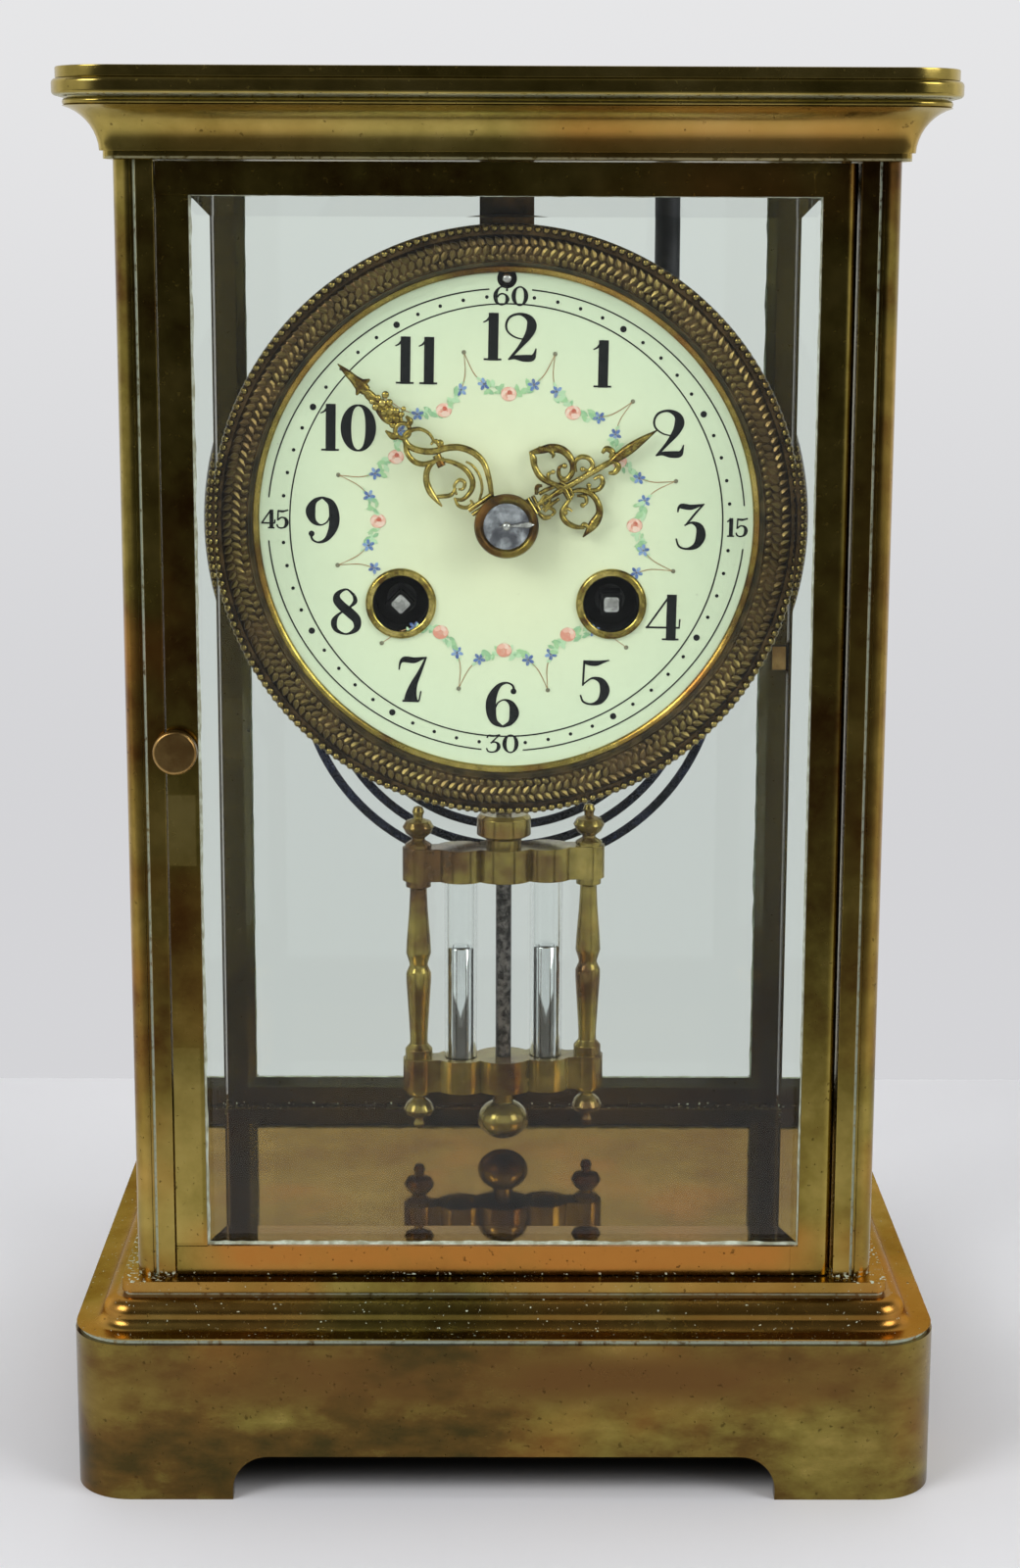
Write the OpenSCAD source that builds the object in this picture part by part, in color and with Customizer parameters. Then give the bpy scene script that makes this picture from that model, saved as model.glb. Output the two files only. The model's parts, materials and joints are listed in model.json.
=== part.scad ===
// Four-glass mantel clock with a striking movement and a twin-vial pendulum.
// Millimetres. X runs to the right, Y to the back and Z up; the origin lies
// under the middle of the plinth, on the surface that the clock stands on.

/* [Case] */
// Width over the four corner posts
case_w = 138; // [132:1:150]
// Depth over the four corner posts
case_d = 111; // [104:1:124]
// Height of the corner posts
post_h = 205; // [198:1:230]
// Width of one corner post, the same on both faces
post_w = 7.3; // [6.5:0.1:9]
// Radius of the rounded outer corner of a post
post_round = 3.2; // [2:0.1:3.6]
// Width of the groove beside the rounded corner
groove_w = 0.9; // [0.5:0.1:1.2]
// Depth of that groove
groove_d = 0.8; // [0.4:0.1:1.2]
// Height of the plinth
plinth_h = 30.5; // [24:0.5:40]
// Distance that the plinth stands out past the posts
base_out = 11.5; // [9:0.5:16]
// Step from the posts out to the edge of the deck that they stand on
deck_step = 2.7; // [2:0.1:4]
// Corner radius of that deck, seen from above
deck_round = 2.2; // [1:0.1:4]
// Wall of the hollow plinth
plinth_wall = 3; // [2:0.25:5]
// Height of the foot arches
arch_h = 8.5; // [5:0.5:14]
// Length of a foot along the front, measured at the ground
foot_w = 30; // [20:1:45]
// Height of the moulding between plinth and posts
moulding_h = 9; // [7:0.5:14]
// Thickness of the floor plate inside the case
floor_t = 2; // [1:0.25:3]
// Height of the cornice, without its lid
cornice_h = 13.5; // [11:0.5:20]
// Distance that the cornice stands out past the posts
cornice_out = 10; // [8:0.5:14]
// Thickness of the lid on the cornice
lid_t = 2; // [1:0.25:4]
// Distance that the lid lies inside the edge of the cornice
lid_inset = 0.7; // [0:0.1:3]

/* [Doors and glass] */
// Thickness of a door frame
door_t = 5; // [4:0.25:7]
// Width of the stile on the latch side
latch_stile = 5.7; // [5:0.1:9]
// Width of the stile on the hinge side
hinge_stile = 6.3; // [5:0.1:9]
// Height of the top rail
top_rail = 5.8; // [4:0.1:10]
// Height of the bottom rail
bottom_rail = 5.6; // [4:0.1:10]
// Gap round a closed door
door_gap = 0.3; // [0.2:0.05:0.6]
// Thickness of a pane at its middle
glass_t = 3.2; // [2.4:0.1:3.6]
// Width of the bevel that shows round a pane
bevel_w = 3.6; // [2:0.1:8]
// Thickness of a pane at its edge
glass_edge = 1.8; // [1.2:0.1:2.2]
// Depth that a pane is held in its frame or groove
glass_hold = 1.8; // [1:0.1:2.4]
// Radius of a door hinge pin
hinge_r = 0.9; // [0.6:0.05:1.2]
// Diameter of a door knob
knob_d = 8; // [6:0.5:12]
// Height of the front door knob above the ground
knob_z = 140; // [110:1:180]

/* [Dial] */
// Distance of the dial centre below the top of the posts
dial_drop = 64.5; // [62:0.5:70]
// Diameter of the white dial that shows inside the bezel
dial_d = 93.4; // [90:0.1:97]
// Outer diameter of the bezel
bezel_d = 107.8; // [104:0.1:110]
// Depth of the bezel, front to back
bezel_t = 6.2; // [5:0.1:8]
// Thickness of the enamelled dial
dial_t = 1.6; // [1:0.1:2.5]
// Distance from the front of the case to the front of the dial
dial_set = 13.5; // [13:0.1:15]
// Sideways distance of a winding hole from the dial centre
wind_x = 19.3; // [19:0.1:20]
// Distance of a winding hole below the dial centre
wind_drop = 14.8; // [14:0.1:16]
// Inner diameter of the ring in a winding hole
wind_hole_d = 10.2; // [9:0.1:11]
// Width across a winding square
wind_square = 3.8; // [3:0.1:4.5]
// Distance of the regulator hole above the dial centre
regulator_up = 44; // [42:0.1:44.5]
// Length of the minute hand from its centre to its tip
minute_len = 41; // [36:0.5:44]
// Length of the hour hand from its centre to its tip
hour_len = 31.5; // [27:0.5:34]
// Time that the hands show, in minutes past twelve
shown_minutes = 112; // [0:1:719]

/* [Movement] */
// Diameter of the movement plates
plate_d = 84; // [82:1:96]
// Thickness of a movement plate
plate_t = 2.5; // [1.5:0.25:4]
// Distance between the movement plates
plate_gap = 35; // [35:0.5:40]
// Radius of the movement pillars
pillar_r = 2.6; // [2:0.1:3.5]
// Radius of a wheel arbor
arbor_r = 0.6; // [0.5:0.05:0.65]
// Radius of a pivot in its plate
pivot_r = 0.45; // [0.3:0.05:0.45]
// Thickness of a wheel
wheel_t = 1.2; // [0.8:0.1:1.6]
// Radius of a spring barrel
barrel_r = 15.6; // [12:0.1:16]
// Distance of the anchor arbor above the dial centre
anchor_up = 35.5; // [35:0.1:36.5]

/* [Pendulum and gong] */
// Distance of the pendulum behind the back plate of the movement
pendulum_back = 15.5; // [14:0.5:17]
// Gap between the rating nut and the floor of the case
nut_clear = 1.5; // [1.2:0.1:6]
// Distance between the outer faces of the two bob plates
bob_h = 52.8; // [50:0.1:53]
// Width over the end lobes of a bob plate
bob_w = 42.7; // [42:0.1:48]
// Thickness of a bob plate
bob_plate_t = 7; // [5:0.1:9]
// Distance between the bob pillars
bob_pillar_gap = 36; // [34:0.1:37]
// Distance between the glass vials
vial_gap = 18.1; // [16:0.1:19]
// Outer diameter of a vial
vial_d = 6.9; // [5.5:0.1:7.5]
// Wall of a vial
vial_wall = 0.7; // [0.5:0.05:1]
// Height of the mercury in a vial
mercury_h = 24; // [10:1:36]
// Radius of the pendulum rod
rod_r = 1.65; // [1.2:0.05:2]
// Diameter of the rating nut
nut_d = 10.9; // [8:0.1:12]
// Turn of the bob about the rod
bob_twist = 5; // [-8:1:8]
// Radius of the gong wire
gong_wire_r = 0.95; // [0.7:0.05:1.2]
// Radius of the outer turn of the gong
gong_r = 45.5; // [40:0.5:47]
// Distance between two turns of the gong
gong_pitch = 4.5; // [3.5:0.1:5]
// Number of turns in the gong
gong_turns = 2.75; // [2:0.25:4]
// Distance of the gong behind the pendulum
gong_back = 11.5; // [10:0.5:13]
// Distance of the gong centre below the dial centre
gong_drop = 38; // [34:1:42]

/* [Hidden] */
$fn = 48;

// Clearances: eps lets a cut pass a face, run is the play of a pivot in its hole,
// seat is the play of a piece that is put in place once
eps = 0.01;
run = 0.04;
seat = 0.02;

// Case levels and half sizes
moulding_z = plinth_h;
deck_z = moulding_z + moulding_h;
post_top = deck_z + post_h;
lid_z = post_top + cornice_h;
dial_z = post_top - dial_drop;
gong_z = dial_z - gong_drop;
half_w = case_w / 2;
half_d = case_d / 2;
base_w = case_w + 2 * base_out;
base_d = case_d + 2 * base_out;
cornice_w = case_w + 2 * cornice_out;
cornice_d = case_d + 2 * cornice_out;
base_round = deck_round + base_out - deck_step;
cornice_step = 1.4;
cornice_round = deck_round + cornice_out - cornice_step;
bay_w = case_w - 2 * post_w;
bay_d = case_d - 2 * post_w;

// Stack behind the dial, from the front of the case backwards
case_front = -half_d;
dial_front = case_front + dial_set;
pan_front = dial_front + dial_t;
pan_t = 0.8;
pan_back = pan_front + pan_t;
motion_gap = 7.6;
front_plate_y = pan_back + motion_gap;
front_inner = front_plate_y + plate_t;
back_inner = front_inner + plate_gap;
back_outer = back_inner + plate_t;
pendulum_y = back_outer + pendulum_back;
gong_y = pendulum_y + gong_back;
pivot_z = dial_z + anchor_up;

// Hollow of the plinth and its flange
flange_t = 3;
flange_w = 20;
arch_round = 6.5;

// Heights in the base moulding, from its lip upwards
lip_h = 1.2;
lip_gap = 0.9;
lip_in = 0.2;
flare_r = 2.2;
roll_r = 2.8;
roll_out = 0.8;
quirk_h = 0.7;
quirk_in = 0.6;
floor_ledge = 4;
floor_edge = 0.6;

// Heights in the cornice, from its lower fillet upwards
fillet_h = 1.4;
bead_h = 1.2;
bead_in = 1.8;
cornice_quirk_h = 0.4;
cornice_quirk_in = 2.6;
cornice_plate_t = 2.9;
cove_in = 0.6;
cove_over = 0.3;
cove_drop = 0.5;
ceiling_t = 2.5;

// Side panes: distance from the outer face of the posts, and depth in deck and cornice
side_glass_in = 2;
side_glass_sink = 1;

// Door hinge: distance of the pin from the two outer faces of its stile
hinge_in = 2.2;
hinge_reach = 3;
door_recess = 0.4;
door_lip = 1.2;
door_w = bay_w - 2 * door_gap;
door_h = post_h - 2 * door_gap;
door_y = case_front + door_recess;
hinge_x = door_w / 2 - hinge_in;
hinge_y = door_y + hinge_in;
pane_x0 = -door_w / 2 + latch_stile - glass_hold;
pane_x1 = door_w / 2 - hinge_stile + glass_hold;
pane_z0 = deck_z + door_gap + bottom_rail - glass_hold;
pane_z1 = post_top - door_gap - top_rail + glass_hold;
seam = 0.2;
seam_in = 1.6;

// Door latch: a knob, its spindle and a tongue that turns into a slot in the post
spindle_r = 0.9;
latch_in = 1.75;
latch_x = -door_w / 2 + latch_in;
knob_t = 2.6;
knob_stand = 0.9;
tongue_w = 3;
tongue_t = 0.8;
tongue_len = 3.6;
tongue_gap = 0.15;
tongue_y = door_y + door_t + tongue_gap;
slot_play = 0.3;

// Slab with a profile that runs round a rounded rectangle; the profile has its
// outer edge at x = 0, reaches inwards as far as the corner radius, and stands on y = 0
module edge_run(w, d, r) {
  for (side = [0, 1])
    rotate(180 * side) {
      translate([w / 2 - r, d / 2 - r, 0])
        rotate([90, 0, 0]) linear_extrude(d - 2 * r) translate([r, 0]) children();
      translate([-w / 2 + r, d / 2 - r, 0])
        rotate([90, 0, 90]) linear_extrude(w - 2 * r) translate([r, 0]) children();
      translate([w / 2 - r, d / 2 - r, 0])
        rotate_extrude(angle = 90) translate([r, 0]) children();
      translate([-w / 2 + r, d / 2 - r, 0]) rotate(90)
        rotate_extrude(angle = 90) translate([r, 0]) children();
    }
}

module round_slab(w, d, h, r) {
  linear_extrude(h) {
    square([w - 2 * r, d], center = true);
    square([w, d - 2 * r], center = true);
    for (x = [-1, 1], y = [-1, 1])
      translate([x * (w / 2 - r), y * (d / 2 - r)]) circle(r);
  }
}

// Cylinder along Y between two depths
module along_y(r, y0, y1) {
  translate([0, y0, 0]) rotate([-90, 0, 0]) cylinder(r = r, h = y1 - y0);
}

// Flat outline in X and Z, given thickness along Y
module sheet_y(y0, t) {
  translate([0, y0 + t, 0]) rotate([90, 0, 0]) linear_extrude(t) children();
}

module foot_arch(span) {
  half = span / 2 - foot_w;
  difference() {
    translate([-half, -1]) square([2 * half, arch_h + 1]);
    for (side = [-1, 1])
      translate([side * half, arch_h]) difference() {
        square(2 * arch_round, center = true);
        translate([-side * arch_round, -arch_round]) circle(arch_round);
        translate([-side * 2 * arch_round, 0]) square(2 * arch_round, center = true);
        translate([0, -2 * arch_round]) square(2 * arch_round, center = true);
      }
  }
}

module plinth() {
  inner_round = base_round - plinth_wall;
  color("darkgoldenrod") difference() {
    round_slab(base_w, base_d, plinth_h, base_round);
    translate([0, 0, -1])
      round_slab(base_w - 2 * plinth_wall, base_d - 2 * plinth_wall, plinth_h - flange_t + 1, inner_round);
    translate([0, 0, plinth_h / 2])
      cube([base_w - 2 * flange_w, base_d - 2 * flange_w, plinth_h + 2], center = true);
    rotate([90, 0, 0]) linear_extrude(2 * base_d, center = true) foot_arch(base_w);
    rotate([90, 0, 90]) linear_extrude(2 * base_w, center = true) foot_arch(base_d);
    bolt_places() translate([0, 0, plinth_h - flange_t - 1]) cylinder(r = bolt_r + seat, h = flange_t + 2);
  }
}

module moulding_profile() {
  inner = -base_round;
  deck_u = -(base_out - deck_step);
  roll_z = lip_h + flare_r;
  roll_u = deck_u + roll_out;
  flare_u = roll_u + roll_r + flare_r;
  translate([inner, 0]) square([base_round - lip_gap, lip_gap]);
  translate([inner, lip_gap]) square([base_round - lip_in, lip_h - lip_gap]);
  translate([inner, 0]) square([roll_u + roll_r - inner, roll_z]);
  translate([roll_u, roll_z]) circle(roll_r);
  translate([inner, 0]) square([roll_u - inner, roll_z + roll_r]);
  difference() {
    translate([roll_u, lip_h - eps]) square([flare_u - roll_u, flare_r + eps]);
    translate([flare_u, roll_z]) circle(flare_r);
  }
  translate([inner, 0]) square([deck_u - quirk_in - inner, moulding_h]);
  translate([inner, roll_z + roll_r + quirk_h])
    square([deck_u - inner, moulding_h - roll_z - roll_r - quirk_h]);
}

module base_moulding() {
  core = [base_w - 2 * base_round, base_d - 2 * base_round];
  floor_size = floor_plate_size();
  color("goldenrod") difference() {
    translate([0, 0, moulding_z]) {
      edge_run(base_w, base_d, base_round) moulding_profile();
      translate([-core.x / 2, -core.y / 2, 0]) cube([core.x, core.y, moulding_h]);
    }
    translate([-floor_size.x / 2 - seat, -floor_size.y / 2 - seat, deck_z - floor_t])
      cube([floor_size.x + 2 * seat, floor_size.y + 2 * seat, floor_t + 1]);
    translate([-floor_size.x / 2 + floor_ledge, -floor_size.y / 2 + floor_ledge, moulding_z - 1])
      cube([floor_size.x - 2 * floor_ledge, floor_size.y - 2 * floor_ledge, moulding_h + 2]);
    side_glass_slots(deck_z - side_glass_sink);
    for (turn = [0, 180]) rotate(turn)
      translate([hinge_x, hinge_y, deck_z - hinge_reach]) cylinder(r = hinge_r + run, h = hinge_reach + 1);
    bolt_places() translate([0, 0, moulding_z - 1]) cylinder(r = bolt_r + seat, h = moulding_h + 2);
  }
}

function floor_plate_size() = [bay_w - 2 * floor_edge, bay_d - 2 * floor_edge];

module base_floor() {
  size = floor_plate_size();
  color("peru") translate([-size.x / 2, -size.y / 2, deck_z - floor_t]) cube([size.x, size.y, floor_t]);
}

// Bolts that draw the posts down on the plinth
bolt_r = 1.4;
bolt_head_r = 3;
bolt_head_t = 2;
bolt_reach = 8;
bolt_shift = 0.1;
bolt_slot_w = 0.8;

module bolt_places() {
  inset = post_w / 2 - bolt_shift;
  for (x = [-1, 1], y = [-1, 1])
    translate([x * (half_w - inset), y * (half_d - inset), 0]) children();
}

module case_bolts() {
  shank = flange_t + moulding_h + bolt_reach;
  color("dimgray") bolt_places() translate([0, 0, plinth_h - flange_t]) {
    cylinder(r = bolt_r, h = shank);
    difference() {
      translate([0, 0, -bolt_head_t]) cylinder(r = bolt_head_r, h = bolt_head_t);
      translate([-bolt_head_r, -bolt_slot_w / 2, -bolt_head_t - eps])
        cube([2 * bolt_head_r, bolt_slot_w, bolt_head_t / 2]);
    }
  }
}

// Plan of one post, with its outer corner at the origin
module post_plan() {
  difference() {
    union() {
      translate([0, post_round]) square([post_w, post_w - post_round]);
      translate([post_round, 0]) square([post_w - post_round, post_round + eps]);
      translate([post_round, post_round]) circle(post_round);
    }
    post_side_groove();
    mirror([1, -1]) post_side_groove();
    translate([side_glass_in - seat, post_w - glass_hold]) square([glass_t + 2 * seat, glass_hold + 1]);
  }
}

module post_side_groove() {
  translate([-1, post_round]) square([groove_d + 1, groove_w]);
}

module latch_slot() {
  reach = tongue_len + slot_play;
  translate([latch_x, tongue_y - slot_play, 0])
    sheet_y(0, tongue_t + 2 * slot_play) difference() {
      circle(reach + tongue_w / 2);
      translate([-eps, -2 * reach]) square(4 * reach);
    }
}

// Side x is -1 on the left, side y is -1 at the front; a latch slot is cut where its door shuts
module post(side_x, side_y) {
  latched = side_x == side_y;
  color("darkgoldenrod") difference() {
    translate([side_x * half_w, side_y * half_d, deck_z])
      mirror([side_x > 0 ? 1 : 0, 0, 0]) mirror([0, side_y > 0 ? 1 : 0, 0])
        linear_extrude(post_h) post_plan();
    bolt_places() translate([0, 0, deck_z - 1]) cylinder(r = bolt_r + seat, h = bolt_reach + 1 + seat);
    if (latched)
      rotate(side_y < 0 ? 0 : 180) translate([0, 0, knob_z]) latch_slot();
  }
}

module post_front_left() { post(-1, -1); }
module post_front_right() { post(1, -1); }
module post_rear_left() { post(-1, 1); }
module post_rear_right() { post(1, 1); }

module cornice_profile() {
  inner = -cornice_round;
  fillet_u = -(cornice_out - cornice_step);
  cove_r = cornice_out - cornice_step - cove_in + cove_over;
  bead_z = cornice_h - cornice_plate_t - cornice_quirk_h - bead_h;
  quirk_z = bead_z + bead_h;
  plate_z = quirk_z + cornice_quirk_h;
  edge_r = 0.8;
  translate([inner, 0]) square([fillet_u - inner, fillet_h]);
  difference() {
    translate([inner, fillet_h - eps]) square([-bead_in - inner, bead_z - fillet_h + 2 * eps]);
    translate([fillet_u + cove_in + cove_r, fillet_h - cove_drop]) circle(cove_r, $fn = 96);
  }
  translate([inner, bead_z]) square([-bead_in - bead_h / 2 - inner, bead_h]);
  translate([-bead_in - bead_h / 2, bead_z + bead_h / 2]) circle(bead_h / 2);
  translate([inner, quirk_z - eps]) square([-cornice_quirk_in - inner, cornice_quirk_h + 2 * eps]);
  translate([inner, plate_z]) square([-edge_r - inner, cornice_plate_t]);
  translate([-edge_r, plate_z + edge_r]) square([edge_r, cornice_plate_t - 2 * edge_r]);
  for (z = [plate_z + edge_r, plate_z + cornice_plate_t - edge_r]) translate([-edge_r, z]) circle(edge_r);
}

module cornice() {
  core = [cornice_w - 2 * cornice_round, cornice_d - 2 * cornice_round];
  color("goldenrod") difference() {
    translate([0, 0, post_top]) {
      edge_run(cornice_w, cornice_d, cornice_round) cornice_profile();
      translate([-core.x / 2, -core.y / 2, 0]) cube([core.x, core.y, ceiling_t]);
    }
    mirrored_glass_slots();
    for (turn = [0, 180]) rotate(turn)
      translate([hinge_x, hinge_y, post_top - 1]) cylinder(r = hinge_r + run, h = hinge_reach / 2 + 1);
    translate([0, hanger_mid, 0]) for (y = [-1, 1]) translate([0, y * hanger_bolt_gap / 2, post_top - 1])
      cylinder(r = hanger_bolt_r + seat, h = ceiling_t + 2);
    translate([gong_post_x, gong_y, post_top - 1]) cylinder(r = gong_post_screw_r + seat, h = ceiling_t + 2);
  }
}

module cornice_lid() {
  color("darkgoldenrod") translate([0, 0, lid_z])
    round_slab(cornice_w - 2 * lid_inset, cornice_d - 2 * lid_inset, lid_t, cornice_round - lid_inset);
}

// Pane that stands in X and Z, with the bevel on its front face
module pane(w, h) {
  run_in = glass_hold + bevel_w;
  edge_cut = (glass_t - glass_edge) * (1 + 1 / run_in);
  difference() {
    translate([-w / 2, 0, -h / 2]) cube([w, glass_t, h]);
    for (side = [-1, 1]) {
      translate([side * w / 2, 0, -h / 2 - 1]) linear_extrude(h + 2)
        polygon([[-side * run_in, 0], [-side * run_in, -1], [side, -1], [side, edge_cut]]);
      translate([-w / 2 - 1, 0, side * h / 2]) rotate([90, 0, 90]) linear_extrude(w + 2)
        polygon([[0, -side * run_in], [-1, -side * run_in], [-1, side], [edge_cut, side]]);
    }
  }
}

side_pane_w = bay_d + 2 * (glass_hold - seat);
side_pane_h = post_h + 2 * (side_glass_sink - seat);
side_pane_x = half_w - side_glass_in;

module side_glass(side) {
  color("lightcyan", 0.4) translate([side * side_pane_x, 0, (deck_z + post_top) / 2])
    rotate(side * 90) pane(side_pane_w, side_pane_h);
}

module side_glass_left() { side_glass(-1); }
module side_glass_right() { side_glass(1); }

module side_glass_slots(z) {
  for (side = [-1, 1])
    translate([side * (side_pane_x - glass_t / 2), 0, z + 10])
      cube([glass_t + 2 * seat, side_pane_w + 2 * seat, 20], center = true);
}

module mirrored_glass_slots() {
  translate([0, 0, post_top + side_glass_sink]) mirror([0, 0, 1]) side_glass_slots(0);
}

// Plan of a door, with the edge beside its hinge pin rounded
module door_plan() {
  translate([-door_w / 2, 0]) square([door_w - hinge_in, door_t]);
  translate([hinge_x - eps, hinge_in]) square([hinge_in + eps, door_t - hinge_in]);
  translate([hinge_x, hinge_in]) circle(hinge_in);
}

// Door of the front; the rear door is the same door, turned about Z
module door_frame() {
  x0 = -door_w / 2;
  z0 = deck_z + door_gap;
  rail_z = [z0 + bottom_rail, z0 + door_h - top_rail];
  sight = [door_w - latch_stile - hinge_stile, door_h - top_rail - bottom_rail];
  pane_size = [pane_x1 - pane_x0, pane_z1 - pane_z0];
  color("darkgoldenrod") difference() {
    translate([0, door_y, z0]) linear_extrude(door_h) door_plan();
    translate([x0 + latch_stile, door_y - 1, rail_z[0]]) cube([sight.x, door_t + 2, sight.y]);
    translate([pane_x0 - seat, door_y + door_lip, pane_z0 - seat])
      cube([pane_size.x + 2 * seat, door_t, pane_size.y + 2 * seat]);
    for (z = [z0 - 1, z0 + door_h - hinge_reach])
      translate([hinge_x, hinge_y, z]) cylinder(r = hinge_r + seat, h = hinge_reach + 1);
    translate([latch_x, 0, knob_z]) along_y(spindle_r + run, door_y - 1, door_y + door_t + 1);
    for (z = rail_z) translate([x0 - 1, door_y - 1, z - seam / 2]) cube([latch_stile + 1, 1 + seam, seam]);
    for (z = [z0 - 1, rail_z[1] - eps])
      translate([x0 + door_w - hinge_stile - seam_in, door_y - 1, z]) cube([seam, 1 + seam, top_rail + 2]);
  }
}

module door_glass() {
  color("lightcyan", 0.4)
    translate([(pane_x0 + pane_x1) / 2, door_y + door_lip, (pane_z0 + pane_z1) / 2])
      pane(pane_x1 - pane_x0, pane_z1 - pane_z0);
}

module hinge_pins() {
  color("peru") for (z = [deck_z - hinge_reach, post_top - hinge_reach - door_gap])
    translate([hinge_x, hinge_y, z + run]) cylinder(r = hinge_r, h = 1.5 * hinge_reach - run);
}

module front_door_frame() { door_frame(); }
module rear_door_frame() { rotate(180) door_frame(); }
module front_glass() { door_glass(); }
module rear_glass() { rotate(180) door_glass(); }
module front_hinge_pins() { hinge_pins(); }
module rear_hinge_pins() { rotate(180) hinge_pins(); }

// The latch stands unlocked, with its tongue upright behind the stile
module latch() {
  back = tongue_y + tongue_t;
  edge = 0.6;
  color("sienna") translate([latch_x, 0, knob_z]) {
    along_y(spindle_r, door_y - knob_stand, back);
    translate([0, door_y - knob_stand, 0]) rotate([90, 0, 0]) rotate_extrude() {
      square([knob_d / 2 - edge, knob_t]);
      translate([0, edge]) square([knob_d / 2, knob_t - 2 * edge]);
      for (y = [edge, knob_t - edge]) translate([knob_d / 2 - edge, y]) circle(edge);
    }
    translate([-tongue_w / 2, tongue_y, -tongue_w / 2]) cube([tongue_w, tongue_t, tongue_len + tongue_w / 2]);
  }
}

module front_latch() { latch(); }
module rear_latch() { rotate(180) latch(); }

// Dial, its pan and the bezel
dial_hold = 0.9;
dial_r = dial_d / 2 + dial_hold;
bezel_front = dial_front - bezel_t + dial_t + 0.6;
pan_r = bezel_d / 2 - 2;
collet_bore_r = 4.5;
ring_wall = 1.2;
ring_bead = ring_wall / 2 + 0.2;
wind_r = wind_hole_d / 2 + ring_wall;
regulator_r = 1.8;
dial_foot_r = 1.8;
dial_foot_at = 34;
dial_foot_angles = [25, 155, 215, 325];
wind_places = [[-wind_x, -wind_drop], [wind_x, -wind_drop]];

module dial_holes(extra) {
  circle(collet_bore_r + extra);
  for (p = wind_places) translate(p) circle(wind_r + seat + extra);
  translate([0, regulator_up]) circle(regulator_r + extra);
}

module dial() {
  color("ivory") translate([0, 0, dial_z]) sheet_y(dial_front, dial_t) difference() {
    circle(dial_r, $fn = 96);
    dial_holes(0);
  }
}

module dial_pan() {
  color("goldenrod") translate([0, 0, dial_z]) {
    sheet_y(pan_front, pan_t) difference() {
      circle(pan_r, $fn = 96);
      dial_holes(0.3);
    }
    for (a = dial_foot_angles) rotate([0, -a, 0]) translate([dial_foot_at, 0, 0])
      along_y(dial_foot_r, pan_back - eps, front_plate_y);
  }
}

// Profile of the bezel: X is the radius and Y runs back from its front edge
module bezel() {
  outer = bezel_d / 2;
  inner = dial_d / 2;
  lip = dial_front - bezel_front;
  depth = pan_front - bezel_front;
  edge = 0.9;
  crown = 1.6;
  color("saddlebrown") translate([0, bezel_front, dial_z]) rotate([-90, 0, 0]) rotate_extrude($fn = 96) {
    difference() {
      translate([inner, crown]) square([outer - edge - inner, depth - crown]);
      translate([inner - 1, lip]) square([dial_hold + seat + 1, depth]);
      polygon([[inner - eps, crown - eps], [inner + 1.4, crown - eps], [inner - eps, lip]]);
    }
    polygon([[inner + 1.4, crown], [inner + 2.2, crown - 0.9], [outer - 2.2, 0.2], [outer - edge, crown]]);
    translate([outer - edge, crown]) circle(edge);
    translate([outer - 2 * edge, crown]) square([2 * edge - 0.4, depth - crown]);
  }
}

module winding_rings() {
  color("goldenrod") for (p = wind_places) translate([p.x, 0, dial_z + p.y]) difference() {
    union() {
      along_y(wind_r, dial_front, pan_front);
      translate([0, dial_front, 0]) rotate([90, 0, 0]) rotate_extrude()
        translate([wind_hole_d / 2 + ring_wall / 2, 0]) intersection() {
          circle(ring_bead);
          translate([-ring_bead, 0]) square([2 * ring_bead, ring_bead]);
        }
    }
    along_y(wind_hole_d / 2, dial_front - 2, pan_front + 1);
  }
}

// Toothed wheels: tooth sizes are in modules and half angles in tooth pitches
wheel_teeth = [0.95, 1.15, 0.10, 0.22];
pinion_leaves = [0.6, 1.25, 0.10, 0.15];

function gear_r(n, m) = n * m / 2;
function tooth(n, m, shape, i) =
  let (step = 360 / n, r = gear_r(n, m), root = r - shape[1] * m, tip = r + shape[0] * m, a = i * step)
  [[root, a - shape[3] * step], [tip, a - shape[2] * step], [tip, a + shape[2] * step],
    [root, a + shape[3] * step]];
function gear_outline(n, m, shape) =
  [for (i = [0:n - 1]) for (p = tooth(n, m, shape, i)) p[0] * [cos(p[1]), sin(p[1])]];

// Bore of a wheel or pinion: a twelve-sided hole that clears its arbor
module arbor_bore(r) {
  circle((r + seat) / cos(15), $fn = 12);
}

// Wheel with four crossings; turn sets a tooth on the line to its pinion
module wheel(n, m, turn, bore) {
  rim = gear_r(n, m) - wheel_teeth[1] * m - wheel_rim;
  hub = max(wheel_hub, bore + 1.2);
  difference() {
    rotate(turn) polygon(gear_outline(n, m, wheel_teeth));
    arbor_bore(bore);
    if (rim > hub + 2)
      difference() {
        circle(rim, $fn = 12);
        circle(hub, $fn = 12);
        for (a = [0, 90]) rotate(a) square([2 * rim, spoke_w], center = true);
      }
  }
}

module pinion(n, m, turn, bore) {
  difference() {
    rotate(turn) polygon(gear_outline(n, m, pinion_leaves));
    arbor_bore(bore);
  }
}

wheel_rim = 1.6;
wheel_hub = 2.2;
spoke_w = 1.6;

// Arbor between the plates, with a pivot in each of them
module arbor(r, pivot, y0, y1) {
  along_y(r, y0 + end_shake, y1 - end_shake);
  along_y(pivot, y0 - plate_t + end_shake, y1 + plate_t - end_shake);
}

end_shake = 0.2;

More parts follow.
